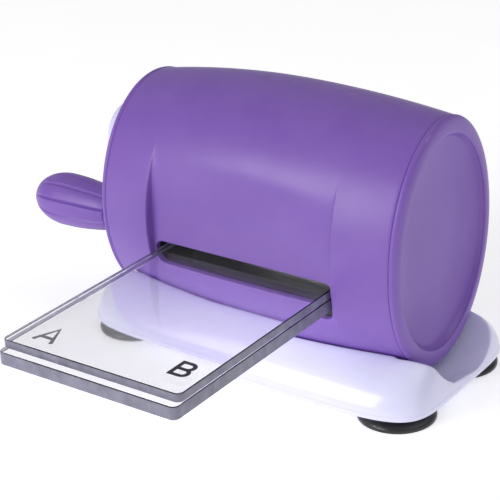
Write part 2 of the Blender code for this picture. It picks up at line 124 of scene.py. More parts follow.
class Wiring:
    """Adds nodes to a tree and feeds their sockets with numbers, colours or other sockets."""

    def __init__(self, tree: bpy.types.NodeTree) -> None:
        """Keeps the tree that the nodes go into."""
        self.tree = tree

    def add(
        self, kind: str, feeds: dict[str | int, object] | None = None, **settings: object
    ) -> bpy.types.Node:
        """Adds one node.

        Args:
            kind: The node's type name.
            feeds: Input name or number, with a value or a socket for it.
            **settings: Properties of the node itself.

        Returns:
            The node.
        """
        node = self.tree.nodes.new(kind)
        for label, value in settings.items():
            setattr(node, label, value)
        for label, value in (feeds or {}).items():
            socket = node.inputs[label]
            if isinstance(value, bpy.types.NodeSocket):
                self.tree.links.new(value, socket)
            else:
                socket.default_value = value
        return node

    def math(self, operation: str, a: object, b: object = 0.0, c: object = 0.0) -> bpy.types.NodeSocket:
        """One Math node's result."""
        kind = "ShaderNodeMath"
        return self.add(kind, {0: a, 1: b, 2: c}, operation=operation).outputs[0]

    def blend(self, share: object, a: object, b: object) -> bpy.types.NodeSocket:
        """Mixes two colours by a share, and returns the mixed colour.

        Args:
            share: How much of the second colour shows.
            a: The first colour.
            b: The second colour.

        Returns:
            The mixed colour.
        """
        node = self.add("ShaderNodeMix", data_type="RGBA")
        for socket, value in zip((node.inputs[0], node.inputs[6], node.inputs[7]), (share, a, b)):
            if isinstance(value, bpy.types.NodeSocket):
                self.tree.links.new(value, socket)
            else:
                socket.default_value = (*value, 1.0) if isinstance(value, tuple) else value
        return node.outputs[2]

    def spread(
        self, value: object, low: object, high: object, start: object, end: object
    ) -> bpy.types.NodeSocket:
        """Maps a number from one range to another, clamped."""
        feeds = {"Value": value, "From Min": low, "From Max": high, "To Min": start, "To Max": end}
        return self.add("ShaderNodeMapRange", feeds).outputs[0]

    def noise(
        self, size_mm: object, detail: float = 3.0, stretch: Point = (1.0, 1.0, 1.0)
    ) -> bpy.types.NodeSocket:
        """Noise on Object coordinates whose blobs are about size_mm across.

        Args:
            size_mm: A number, or a socket that holds millimetres.
            detail: The number of finer layers.
            stretch: How many times denser it is along each axis.

        Returns:
            The noise value, from 0 to 1.
        """
        where = self.add("ShaderNodeTexCoord").outputs["Object"]
        laid = self.add("ShaderNodeMapping", {"Vector": where, "Scale": stretch}).outputs[0]
        if isinstance(size_mm, bpy.types.NodeSocket):
            scale = self.math("DIVIDE", 1000.0, size_mm)
        else:
            scale = 1000.0 / size_mm
        feeds = {"Vector": laid, "Scale": scale, "Detail": detail, "Roughness": 0.55}
        return self.add("ShaderNodeTexNoise", feeds).outputs[0]


class Effects:
    """The shader groups that the finishes share."""

    def __init__(self) -> None:
        """Builds each group once."""
        self.grain = self._grain()
        self.tone = self._tone()
        self.wear = self._wear()
        self.dust = self._dust()
        self.gloss = self._gloss()
        self.brushed = self._brushed()
        self.scratches = self._scratches()

    def _grain(self) -> ShaderGroup:
        """The fine orange peel that a spark-eroded mould leaves on plastic.

        Returns:
            The group.
        """
        group = ShaderGroup("mould_grain", {"Size mm": 0.5, "Coarse share": 0.3}, "Height")
        wire = group.wiring
        fine = wire.noise(group.given("Size mm"), 2.0)
        coarse = wire.noise(wire.math("MULTIPLY", group.given("Size mm"), 7.0), 2.0)
        share = wire.math("MULTIPLY", coarse, group.given("Coarse share"))
        group.gives(wire.math("ADD", fine, share))
        return group

    def _tone(self) -> ShaderGroup:
        """The slow drift of colour across a moulding.

        Returns:
            The group.
        """
        inputs = {"Colour": (0.5, 0.5, 0.5), "Drift colour": (0.4, 0.4, 0.4)}
        inputs |= {"Patch mm": 30.0, "Speckle": 0.05}
        group = ShaderGroup("tone_drift", inputs, "Colour", colour=True)
        wire = group.wiring
        patch = wire.spread(wire.noise(group.given("Patch mm"), 3.0), 0.35, 0.7, 0.0, 1.0)
        speck = wire.spread(wire.noise(0.35, 1.0), 0.55, 0.75, 0.0, group.given("Speckle"))
        share = wire.math("ADD", patch, speck)
        group.gives(wire.blend(share, group.given("Colour"), group.given("Drift colour")))
        return group

    def _wear(self) -> ShaderGroup:
        """Rubbed places along the proud edges.

        Returns:
            The group.
        """
        group = ShaderGroup("edge_wear", {"Amount": 0.3, "Start": 0.52}, "Mask")
        wire = group.wiring
        proud = wire.add("ShaderNodeNewGeometry").outputs["Pointiness"]
        edge = wire.spread(proud, group.given("Start"), 0.6, 0.0, 1.0)
        broken = wire.spread(wire.noise(4.0, 4.0), 0.4, 0.62, 0.25, 1.0)
        worn = wire.math("MULTIPLY", edge, broken)
        group.gives(wire.math("MULTIPLY", worn, group.given("Amount")))
        return group

    def _dust(self) -> ShaderGroup:
        """A thin dust that settles on faces that look up.

        Returns:
            The group.
        """
        group = ShaderGroup("settled_dust", {"Amount": 0.1, "Patch mm": 9.0}, "Mask")
        wire = group.wiring
        normal = wire.add("ShaderNodeNewGeometry").outputs["Normal"]
        up = wire.add("ShaderNodeSeparateXYZ", {"Vector": normal}).outputs["Z"]
        facing = wire.spread(up, 0.45, 1.0, 0.0, 1.0)
        patch = wire.spread(wire.noise(group.given("Patch mm"), 5.0), 0.42, 0.7, 0.0, 1.0)
        laid = wire.math("MULTIPLY", facing, patch)
        group.gives(wire.math("MULTIPLY", laid, group.given("Amount")))
        return group

    def _gloss(self) -> ShaderGroup:
        """Roughness that varies with handling, in patches and in fine hairlines.

        Returns:
            The group.
        """
        group = ShaderGroup("gloss_change", {"Roughness": 0.4, "Change": 0.08, "Patch mm": 14.0}, "Roughness")
        wire = group.wiring
        patch = wire.noise(group.given("Patch mm"), 4.0)
        hair = wire.noise(2.2, 2.0, (1.0, 9.0, 9.0))
        mixed = wire.math("ADD", wire.math("MULTIPLY", patch, 0.75), wire.math("MULTIPLY", hair, 0.25))
        centred = wire.math("SUBTRACT", mixed, 0.5)
        shift = wire.math("MULTIPLY", centred, wire.math("MULTIPLY", group.given("Change"), 3.0))
        group.gives(wire.math("ADD", group.given("Roughness"), shift))
        return group

    def _brushed(self) -> ShaderGroup:
        """Turning and grinding lines round a shaft that lies along X.

        Returns:
            The group.
        """
        group = ShaderGroup("turned_lines", {"Line mm": 0.5}, "Height")
        wire = group.wiring
        group.gives(wire.noise(group.given("Line mm"), 3.0, (3.0, 0.15, 0.15)))
        return group

    def _scratches(self) -> ShaderGroup:
        """Hairline scratches that lie two ways across a plate.

        Returns:
            The group.
        """
        group = ShaderGroup("hairlines", {"Strength": 0.5}, "Height")
        wire = group.wiring
        one = wire.spread(wire.noise(1.1, 2.0, (0.05, 2.4, 1.0)), 0.62, 0.7, 0.0, 1.0)
        two = wire.spread(wire.noise(1.3, 2.0, (2.2, 0.07, 1.0)), 0.64, 0.72, 0.0, 1.0)
        group.gives(wire.math("MULTIPLY", wire.math("ADD", one, two), group.given("Strength")))
        return group


# ---------------------------------------------------------------- finishes


@dataclass(frozen=True)
class Finish:
    """One surface finish and the numbers that set it."""

    name: str
    colour: Colour
    drift: Colour
    roughness: float
    slot: Slot | None = None
    worn: Colour = (0.75, 0.72, 0.8)
    dusty: Colour = (0.72, 0.7, 0.72)
    metallic: float = 0.0
    gloss_change: float = 0.06
    patch_mm: float = 30.0
    speckle: float = 0.08
    grain_mm: float = 0.5
    grain_depth: float = 0.00002
    grain_strength: float = 0.25
    wear: float = 0.15
    dust: float = 0.06
    coat: float = 0.0
    coat_roughness: float = 0.1
    transmission: float = 0.0
    ior: float = 1.5
    specular: float = 0.5
    turned: bool = False
    hairlines: float = 0.0

    def material(self, effects: Effects) -> bpy.types.Material:
        """Builds the node material.

        Args:
            effects: The shared shader groups.

        Returns:
            The finished material.
        """
        material = bpy.data.materials.new(self.name)
        material.use_nodes = True
        shader = material.node_tree.nodes["Principled BSDF"]
        wire = Wiring(material.node_tree)
        links = material.node_tree.links
        links.new(self._colour(wire, effects), shader.inputs["Base Color"])
        gloss = self._group(wire, effects.gloss, {"Roughness": self.roughness, "Change": self.gloss_change})
        links.new(gloss, shader.inputs["Roughness"])
        links.new(self._relief(wire, effects), shader.inputs["Normal"])
        shader.inputs["Metallic"].default_value = self.metallic
        shader.inputs["Coat Weight"].default_value = self.coat
        shader.inputs["Coat Roughness"].default_value = self.coat_roughness
        shader.inputs["Transmission Weight"].default_value = self.transmission
        shader.inputs["IOR"].default_value = self.ior
        shader.inputs["Specular IOR Level"].default_value = self.specular
        material.diffuse_color = (*self.colour, 1.0)
        return material

    def _group(self, wire: Wiring, group: ShaderGroup, feeds: dict[str, object]) -> bpy.types.NodeSocket:
        """Places a shared group with this finish's own values, and returns its output.

        Args:
            wire: The material's wiring.
            group: The shared group.
            feeds: Its values in this finish.

        Returns:
            The group's output.
        """
        filled = {k: (*v, 1.0) if isinstance(v, tuple) else v for k, v in feeds.items()}
        node = wire.add("ShaderNodeGroup", node_tree=group.tree)
        for label, value in filled.items():
            node.inputs[label].default_value = value
        return node.outputs[0]

    def _colour(self, wire: Wiring, effects: Effects) -> bpy.types.NodeSocket:
        """Colour drift, with worn edges and dust over it.

        Args:
            wire: The material's wiring.
            effects: The shared shader groups.

        Returns:
            The finished colour.
        """
        tones = {"Colour": self.colour, "Drift colour": self.drift}
        tones |= {"Patch mm": self.patch_mm, "Speckle": self.speckle}
        colour = self._group(wire, effects.tone, tones)
        if self.wear > 0:
            colour = wire.blend(self._group(wire, effects.wear, {"Amount": self.wear}), colour, self.worn)
        if self.dust > 0:
            colour = wire.blend(self._group(wire, effects.dust, {"Amount": self.dust}), colour, self.dusty)
        return colour

    def _relief(self, wire: Wiring, effects: Effects) -> bpy.types.NodeSocket:
        """The bump that the grain, the turning lines or the hairlines make.

        Args:
            wire: The material's wiring.
            effects: The shared shader groups.

        Returns:
            The bumped normal.
        """
        if self.turned:
            height = self._group(wire, effects.brushed, {"Line mm": self.grain_mm})
        elif self.hairlines > 0:
            height = self._group(wire, effects.scratches, {"Strength": self.hairlines})
        else:
            height = self._group(wire, effects.grain, {"Size mm": self.grain_mm})
        feeds = {"Strength": self.grain_strength, "Distance": self.grain_depth, "Height": height}
        return wire.add("ShaderNodeBump", feeds).outputs[0]


PURPLE = Finish(
    "purple_satin", (0.2, 0.097, 0.435), (0.182, 0.085, 0.41), 0.38, Slot.PURPLE,
    worn=(0.4, 0.27, 0.66), dusty=(0.36, 0.28, 0.56), grain_mm=0.42, grain_strength=0.3, wear=0.3, dust=0.05,
)
WHITE = Finish(
    "white_gloss", (0.73, 0.725, 0.945), (0.7, 0.695, 0.92), 0.22, Slot.WHITE,
    worn=(0.72, 0.7, 0.84), dusty=(0.66, 0.65, 0.72), coat=0.35, grain_mm=1.4, grain_strength=0.08, dust=0.06,
)
RUBBER = Finish(
    "black_suction_rubber", (0.012, 0.012, 0.014), (0.02, 0.02, 0.022), 0.3, Slot.RUBBER,
    worn=(0.06, 0.06, 0.065), dusty=(0.2, 0.2, 0.2), grain_mm=0.8, grain_strength=0.12, dust=0.12,
)
CLEAR = Finish(
    "clear_acrylic_sheet", (1.0, 1.0, 1.0), (0.985, 0.985, 1.0), 0.02, Slot.ACRYLIC,
    wear=0.0, dust=0.0, gloss_change=0.02, speckle=0.0, transmission=1.0, ior=1.49,
    hairlines=0.6, grain_depth=0.000004, grain_strength=0.12,
)
# Painted shade and highlight: the plates' side faces are painted dark grey for the dark lines that light
# makes in a clear edge, and the pale worn colour on their proud corners is a painted highlight.
PAINTED_EDGE_SHADE = Finish(
    "acrylic_edge_painted_shade", (0.21, 0.205, 0.29), (0.30, 0.295, 0.40), 0.18, Slot.ACRYLIC,
    wear=0.25, dust=0.0, worn=(0.75, 0.75, 0.88), patch_mm=5.0, speckle=0.3, transmission=0.25, ior=1.49,
    grain_mm=0.6, grain_strength=0.25,
)
STEEL = Finish(
    "turned_steel", (0.56, 0.57, 0.59), (0.48, 0.49, 0.51), 0.3, Slot.STEEL,
    worn=(0.75, 0.76, 0.78), metallic=1.0, grain_mm=0.5, grain_depth=0.00001, dust=0.03, turned=True,
)
PLATED = Finish(
    "zinc_plated_steel", (0.5, 0.51, 0.53), (0.43, 0.44, 0.46), 0.42, Slot.STEEL,
    worn=(0.7, 0.7, 0.72), metallic=1.0, grain_mm=1.6, grain_strength=0.12, dust=0.08,
)
BRONZE = Finish(
    "sintered_bronze", (0.6, 0.4, 0.2), (0.5, 0.32, 0.15), 0.4, Slot.BRONZE,
    worn=(0.8, 0.6, 0.35), metallic=1.0, grain_mm=0.3, grain_strength=0.4, dust=0.05,
)
NYLON = Finish(
    "grey_nylon", (0.5, 0.5, 0.49), (0.44, 0.44, 0.43), 0.5, Slot.NYLON,
    worn=(0.7, 0.7, 0.69), grain_mm=0.4, grain_strength=0.2, dust=0.05,
)
GRAPHITE = Finish(
    "graphite_nylon", (0.03, 0.029, 0.034), (0.042, 0.04, 0.046), 0.55, Slot.NYLON,
    worn=(0.1, 0.1, 0.11), grain_mm=0.4, grain_strength=0.2, dust=0.05,
)
INK = Finish(
    "black_plate_ink", (0.012, 0.012, 0.016), (0.03, 0.03, 0.036), 0.45,
    worn=(0.1, 0.1, 0.12), grain_mm=0.25, grain_strength=0.3, wear=0.2, dust=0.0,
)
GREY_INK = Finish(
    "grey_plate_ink", (0.07, 0.07, 0.1), (0.1, 0.1, 0.13), 0.45,
    worn=(0.2, 0.2, 0.24), grain_mm=0.25, grain_strength=0.3, wear=0.2, dust=0.0,
)


# ---------------------------------------------------------------- shapes


def place(x: float, y: float, z: float) -> Vector:
    """A drawing point, in millimetres, as metres in the row frame."""
    return Vector(((x - ORIGIN_X) * MM, (y - ORIGIN_Y) * MM, z * MM))


def soft_min(a: float, b: float, blend: float) -> float:
    """The smaller of two lengths, with the corner between them rounded."""
    return min(a, b) - blend * math.log1p(math.exp(-min(abs(a - b) / blend, 60.0)))


def smooth_step(value: float) -> float:
    """0 below 0, 1 above 1, and an even S between."""
    t = min(1.0, max(0.0, value))
    return t * t * (3.0 - 2.0 * t)


def spline(points: Sequence[Pair], per_span: int) -> list[Pair]:
    """A smooth line through the points.

    Args:
        points: The points it passes through.
        per_span: How many samples each span gets.

    Returns:
        The samples, with both ends kept.
    """
    whole = [points[0], *points, points[-1]]
    line: list[Pair] = []
    for a, b, c, d in zip(whole, whole[1:], whole[2:], whole[3:]):
        for i in range(per_span):
            t = i / per_span
            line.append(tuple(
                0.5 * (
                    2 * q + (r - p) * t + (2 * p - 5 * q + 4 * r - s) * t * t
                    + (3 * q - p - 3 * r + s) * t**3
                )
                for p, q, r, s in zip(a, b, c, d)
            ))
    line.append(points[-1])
    return line


def ellipse_x(x: float, centre: Pair, half: Pair, sides: int) -> Ring:
    """A ring across X, from the top round by +Y."""
    turns = [2 * math.pi * i / sides for i in range(sides)]
    return [(x, centre[0] + half[0] * math.sin(t), centre[1] + half[1] * math.cos(t)) for t in turns]


def loft(rings: Sequence[Ring], loop: bool = False) -> bmesh.types.BMesh:
    """Joins equal rings by quads, with faces that point outwards.

    Args:
        rings: Rings of drawing points.
        loop: True if the last ring joins the first. Otherwise both ends are capped.

    Returns:
        A closed mesh in metres.
    """
    bm = bmesh.new()
    rows = [[bm.verts.new(place(*p)) for p in ring] for ring in rings]
    pairs = list(zip(rows, rows[1:])) + ([(rows[-1], rows[0])] if loop else [])
    for first, second in pairs:
        for i in range(len(first)):
            j = (i + 1) % len(first)
            bm.faces.new((first[i], first[j], second[j], second[i]))
    if not loop:
        bm.faces.new(rows[0])
        bm.faces.new(rows[-1])
    bmesh.ops.remove_doubles(bm, verts=bm.verts, dist=1e-7)
    bmesh.ops.recalc_face_normals(bm, faces=bm.faces)
    if bm.calc_volume(signed=True) < 0:
        bmesh.ops.reverse_faces(bm, faces=bm.faces)
    return bm


def turned_x(
    profile: Sequence[Pair], centre: Pair, hollow: bool = False, sides: int = 72
) -> bmesh.types.BMesh:
    """A turned piece about an axis along X, from (x, radius) pairs."""
    rings = [ellipse_x(x, centre, (radius, radius), sides) for x, radius in profile]
    return loft(rings, hollow)


def turned_z(
    profile: Sequence[Pair], centre: Pair, hollow: bool = False, sides: int = 72
) -> bmesh.types.BMesh:
    """A turned piece about an axis along Z, from (z, radius) pairs.

    Args:
        profile: (z, radius) pairs.
        centre: Where the axis stands.
        hollow: True if the profile is a closed loop.
        sides: How many sides it has.

    Returns:
        The closed mesh.
    """
    turns = [2 * math.pi * i / sides for i in range(sides)]
    rings = [
        [(centre[0] + r * math.cos(t), centre[1] + r * math.sin(t), z) for t in turns] for z, r in profile
    ]
    return loft(rings, hollow)


def rounded_rectangle(half: Pair, radius: float, steps: int) -> list[Pair]:
    """The outline of a rectangle with round corners, about its middle.

    Args:
        half: Half of each side.
        radius: The corners' radius.
        steps: How many steps a corner has.

    Returns:
        The outline.
    """
    outline = []
    for sa, sb, start in ((1, 1, 0), (-1, 1, 90), (-1, -1, 180), (1, -1, 270)):
        for i in range(steps + 1):
            turn = math.radians(start + 90 * i / steps)
            a = sa * (half[0] - radius) + radius * math.cos(turn)
            outline.append((a, sb * (half[1] - radius) + radius * math.sin(turn)))
    return outline


# ---------------------------------------------------------------- geometry nodes


class GrowTree:
    """A Geometry Nodes tree with named inputs, that ends in Realize Instances and Set Material."""

    def __init__(self, name: str, inputs: dict[str, tuple[str, object]]) -> None:
        """Makes the tree and its sockets.

        Args:
            name: The tree's name.
            inputs: Input names with their socket type and first value.
        """
        self.tree = bpy.data.node_groups.new(name, "GeometryNodeTree")
        face = self.tree.interface
        face.new_socket(name="Geometry", in_out="INPUT", socket_type="NodeSocketGeometry")
        self.keys: dict[str, str] = {}
        for label, (kind, value) in {**inputs, "Finish": ("NodeSocketMaterial", None)}.items():
            socket = face.new_socket(name=label, in_out="INPUT", socket_type=kind)
            if value is not None:
                socket.default_value = value
            self.keys[label] = socket.identifier
        face.new_socket(name="Geometry", in_out="OUTPUT", socket_type="NodeSocketGeometry")
        self.source = self.tree.nodes.new("NodeGroupInput")
        self.sink = self.tree.nodes.new("NodeGroupOutput")
        self.wiring = Wiring(self.tree)

    def given(self, label: str) -> bpy.types.NodeSocket:
        """The tree's own input of that name."""
        return self.source.outputs[label]

    def end(self, geometry: bpy.types.NodeSocket) -> None:
        """Closes the tree on this geometry.

        Args:
            geometry: The last geometry socket.
        """
        real = self.wiring.add("GeometryNodeRealizeInstances", {"Geometry": geometry})
        dressed = self.wiring.add(
            "GeometryNodeSetMaterial", {"Geometry": real.outputs[0], "Material": self.given("Finish")}
        )
        self.tree.links.new(dressed.outputs[0], self.sink.inputs[0])

    def grow(self, name: str, seed: bmesh.types.BMesh, values: dict[str, object]) -> bpy.types.Mesh:
        """Runs the tree once and keeps its result as a plain mesh.

        Args:
            name: The new mesh's name.
            seed: The geometry that goes in.
            values: Input names with their values.

        Returns:
            The mesh that came out.
        """
        start = bpy.data.meshes.new(f"{name}_seed")
        seed.to_mesh(start)
        seed.free()
        item = bpy.data.objects.new(f"{name}_seed", start)
        bpy.context.scene.collection.objects.link(item)
        modifier = item.modifiers.new("grow", "NODES")
        modifier.node_group = self.tree
        for label, value in values.items():
            modifier[self.keys[label]] = value
        bpy.context.view_layer.update()
        graph = bpy.context.evaluated_depsgraph_get()
        mesh = bpy.data.meshes.new_from_object(item.evaluated_get(graph))
        item.modifiers.remove(modifier)
        bpy.data.objects.remove(item, do_unlink=True)
        mesh.name = name
        return mesh


def grid_tree() -> GrowTree:
    """Repeats its geometry on the corners of a rectangle that lies flat.

    Returns:
        The tree.
    """
    inputs = {
        "Pitch X": ("NodeSocketFloat", 0.1), "Pitch Y": ("NodeSocketFloat", 0.1),
        "Count X": ("NodeSocketInt", 2), "Count Y": ("NodeSocketInt", 2),
        "Middle": ("NodeSocketVector", (0.0, 0.0, 0.0)),
    }
    tree = GrowTree("repeat_on_rectangle", inputs)
    wire = tree.wiring
    spots = wire.add("GeometryNodeMeshGrid", {
        "Size X": tree.given("Pitch X"), "Size Y": tree.given("Pitch Y"),
        "Vertices X": tree.given("Count X"), "Vertices Y": tree.given("Count Y"),
    })
    moved = wire.add("GeometryNodeTransform", {
        "Geometry": spots.outputs[0], "Translation": tree.given("Middle"),
    })
    copies = wire.add(
        "GeometryNodeInstanceOnPoints", {"Points": moved.outputs[0], "Instance": tree.given("Geometry")}
    )
    tree.end(copies.outputs[0])
    return tree


def ring_tree() -> GrowTree:
    """Repeats its geometry round an axis along X, as teeth round a gear.

    Returns:
        The tree.
    """
    inputs = {
        "Count": ("NodeSocketInt", 8), "First turn": ("NodeSocketFloat", 0.0),
        "Axis": ("NodeSocketVector", (0.0, 0.0, 0.0)),
    }
    tree = GrowTree("repeat_round_shaft", inputs)
    wire = tree.wiring
    spots = wire.add("GeometryNodeMeshLine", {
        "Count": tree.given("Count"), "Start Location": tree.given("Axis"), "Offset": (0.0, 0.0, 0.0),
    })
    index = wire.add("GeometryNodeInputIndex").outputs[0]
    step = wire.math("DIVIDE", 2 * math.pi, tree.given("Count"))
    turn = wire.math("MULTIPLY_ADD", index, step, tree.given("First turn"))
    rotation = wire.add("ShaderNodeCombineXYZ", {"X": turn}).outputs[0]
    copies = wire.add("GeometryNodeInstanceOnPoints", {
        "Points": spots.outputs[0], "Instance": tree.given("Geometry"), "Rotation": rotation,
    })
    tree.end(copies.outputs[0])
    return tree


def flute_tree() -> GrowTree:
    """Presses evenly spaced grooves into a turned grip that lies along X.

    Returns:
        The tree.
    """
    inputs = {
        "Count": ("NodeSocketFloat", 10.0), "Depth": ("NodeSocketFloat", 0.0007),
        "Half width": ("NodeSocketFloat", 0.12), "Axis Y": ("NodeSocketFloat", 0.0),
        "Axis Z": ("NodeSocketFloat", 0.0), "Tip X": ("NodeSocketFloat", 0.0),
        "Full X": ("NodeSocketFloat", 0.0),
    }
    tree = GrowTree("press_flutes", inputs)
    wire = tree.wiring
    position = wire.add("GeometryNodeInputPosition").outputs[0]
    parts = wire.add("ShaderNodeSeparateXYZ", {"Vector": position}).outputs
    across = wire.math("SUBTRACT", parts["Y"], tree.given("Axis Y"))
    above = wire.math("SUBTRACT", parts["Z"], tree.given("Axis Z"))
    turn = wire.math("ARCTAN2", across, above)
    pitch = wire.math("MULTIPLY", turn, wire.math("DIVIDE", tree.given("Count"), 2 * math.pi))
    off = wire.math("ABSOLUTE", wire.math("SUBTRACT", pitch, wire.math("ROUND", pitch)))
    cup = wire.add("ShaderNodeMapRange", {
        "Value": off, "From Min": 0.0, "From Max": tree.given("Half width"), "To Min": 1.0, "To Max": 0.0,
    }, interpolation_type="SMOOTHSTEP").outputs[0]
    fade = wire.add("ShaderNodeMapRange", {
        "Value": parts["X"], "From Min": tree.given("Tip X"), "From Max": tree.given("Full X"),
        "To Min": 0.0, "To Max": 1.0,
    }, interpolation_type="SMOOTHSTEP").outputs[0]
    depth = wire.math("MULTIPLY", wire.math("MULTIPLY", cup, fade), tree.given("Depth"))
    inward = wire.add("ShaderNodeCombineXYZ", {
        "X": 0.0, "Y": wire.math("MULTIPLY", across, -1.0), "Z": wire.math("MULTIPLY", above, -1.0),
    }).outputs[0]
    unit = wire.add("ShaderNodeVectorMath", {0: inward}, operation="NORMALIZE").outputs[0]
    shift = wire.add("ShaderNodeVectorMath", {0: unit, "Scale": depth}, operation="SCALE").outputs[0]
    pressed = wire.add("GeometryNodeSetPosition", {"Geometry": tree.given("Geometry"), "Offset": shift})
    tree.end(pressed.outputs[0])
    return tree


def stroke_tree() -> GrowTree:
    """Lays a flat stroke of ink along each line of its geometry.

    Returns:
        The tree.
    """
    inputs = {"Width": ("NodeSocketFloat", 0.0016), "Thickness": ("NodeSocketFloat", 0.0001)}
    tree = GrowTree("ink_strokes", inputs)
    wire = tree.wiring
    line = wire.add("GeometryNodeMeshToCurve", {"Mesh": tree.given("Geometry")})
    upright = wire.add("GeometryNodeSetCurveNormal", {"Curve": line.outputs[0]}, mode="Z_UP")
    section = wire.add("GeometryNodeCurvePrimitiveQuadrilateral", {
        "Width": tree.given("Width"), "Height": tree.given("Thickness"),
    })
    swept = wire.add("GeometryNodeCurveToMesh", {
        "Curve": upright.outputs[0], "Profile Curve": section.outputs[0], "Fill Caps": True,
    })
    tree.end(swept.outputs[0])
    return tree


# ---------------------------------------------------------------- the bench


class Bench:
    """Dresses finished meshes, rides them on their CAD bodies and reports them."""

    def __init__(self) -> None:
        """Builds the shared groups and trees once."""
        self.effects = Effects()
        self.materials: dict[str, bpy.types.Material] = {}
        self.on_rectangle = grid_tree()
        self.round_shaft = ring_tree()
        self.flutes = flute_tree()
        self.strokes = stroke_tree()

    def material(self, finish: Finish) -> bpy.types.Material:
        """The material of a finish, built the first time it is asked for.

        Args:
            finish: The finish.

        Returns:
            Its material.
        """
        if finish.name not in self.materials:
            self.materials[finish.name] = finish.material(self.effects)
        return self.materials[finish.name]

    def loose(self, name: str, bm: bmesh.types.BMesh) -> bpy.types.Object:
        """A new object from a mesh in progress, which the bench frees.

        Args:
            name: The object's name.
            bm: The mesh in progress.

        Returns:
            The object.
        """
        mesh = bpy.data.meshes.new(name)
        bm.to_mesh(mesh)
        bm.free()
        item = bpy.data.objects.new(name, mesh)
        bpy.context.scene.collection.objects.link(item)
        return item

    def cut(self, item: bpy.types.Object, cutters: Iterable[bmesh.types.BMesh]) -> None:
        """Takes each cutter's volume out of an object and keeps the plain result.

        Args:
            item: The object to cut.
            cutters: Closed meshes, which are used up.
        """
        tools = [self.loose(f"{item.name}_cutter_{i}", bm) for i, bm in enumerate(cutters)]
        for tool in tools:
            boolean = item.modifiers.new(tool.name, "BOOLEAN")
            boolean.operation, boolean.solver, boolean.object = "DIFFERENCE", "EXACT", tool
        bpy.context.view_layer.update()
        graph = bpy.context.evaluated_depsgraph_get()
        mesh = bpy.data.meshes.new_from_object(item.evaluated_get(graph))
        item.modifiers.clear()
        item.data = mesh
        for tool in tools:
            bpy.data.objects.remove(tool, do_unlink=True)

    def finish(
        self, item: bpy.types.Object, body: Body, finish: Finish, stands_for: Iterable[str] = (),
        sharp: float = 32.0,
    ) -> bpy.types.Object:
        """Dresses a piece, rides it and reports it.

        Args:
            item: The piece, at the origin with its place in its mesh.
            body: The CAD body it rides on.
            finish: Its finish. A piece that already has materials keeps them.
            stands_for: The CAD nodes it replaces.
            sharp: Edges steeper than this many degrees stay crisp.

        Returns:
            The piece.
        """
        if not [m for m in item.data.materials if m]:
            item.data.materials.clear()
            item.data.materials.append(self.material(finish))
        item.data.shade_smooth()
        item.data.set_sharp_from_angle(angle=math.radians(sharp))
        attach(item, body.value)
        if stands_for:
            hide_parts(*stands_for)
        LOG.info("%s rides on %s, %d faces, %s", item.name, body.value, len(item.data.polygons), finish.name)
        return item

    def piece(
        self, name: str, bm: bmesh.types.BMesh, body: Body, finish: Finish, stands_for: Iterable[str] = (),
        sharp: float = 32.0,
    ) -> bpy.types.Object:
        """Makes an object of a mesh and finishes it in one go."""
        return self.finish(self.loose(name, bm), body, finish, stands_for, sharp)

    def grown(
        self, name: str, tree: GrowTree, seed: bmesh.types.BMesh, values: dict[str, object], body: Body,
        finish: Finish, stands_for: Iterable[str] = (),
    ) -> bpy.types.Object:
        """Runs a Geometry Nodes tree and finishes what comes out.

        Args:
            name: The piece's name.
            tree: The tree.
            seed: The geometry that goes in.
            values: Input names with their values.
            body: The CAD body it rides on.
            finish: Its finish.
            stands_for: The CAD nodes it replaces.

        Returns:
            The piece.
        """
        mesh = tree.grow(name, seed, {**values, "Finish": self.material(finish)})
        item = bpy.data.objects.new(name, mesh)
        bpy.context.scene.collection.objects.link(item)
        return self.finish(item, body, finish, stands_for)

    def redress(self, names: Iterable[str], finish: Finish) -> None:
        """Gives CAD nodes whose shape is right a procedural material.

        Args:
            names: The nodes' names.
            finish: The finish.
        """
        for name in names:
            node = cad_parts[name]
            node.data.materials.clear()
            node.data.materials.append(self.material(finish))
            LOG.info("%s keeps its shape, %s", name, finish.name)


# ---------------------------------------------------------------- barrel


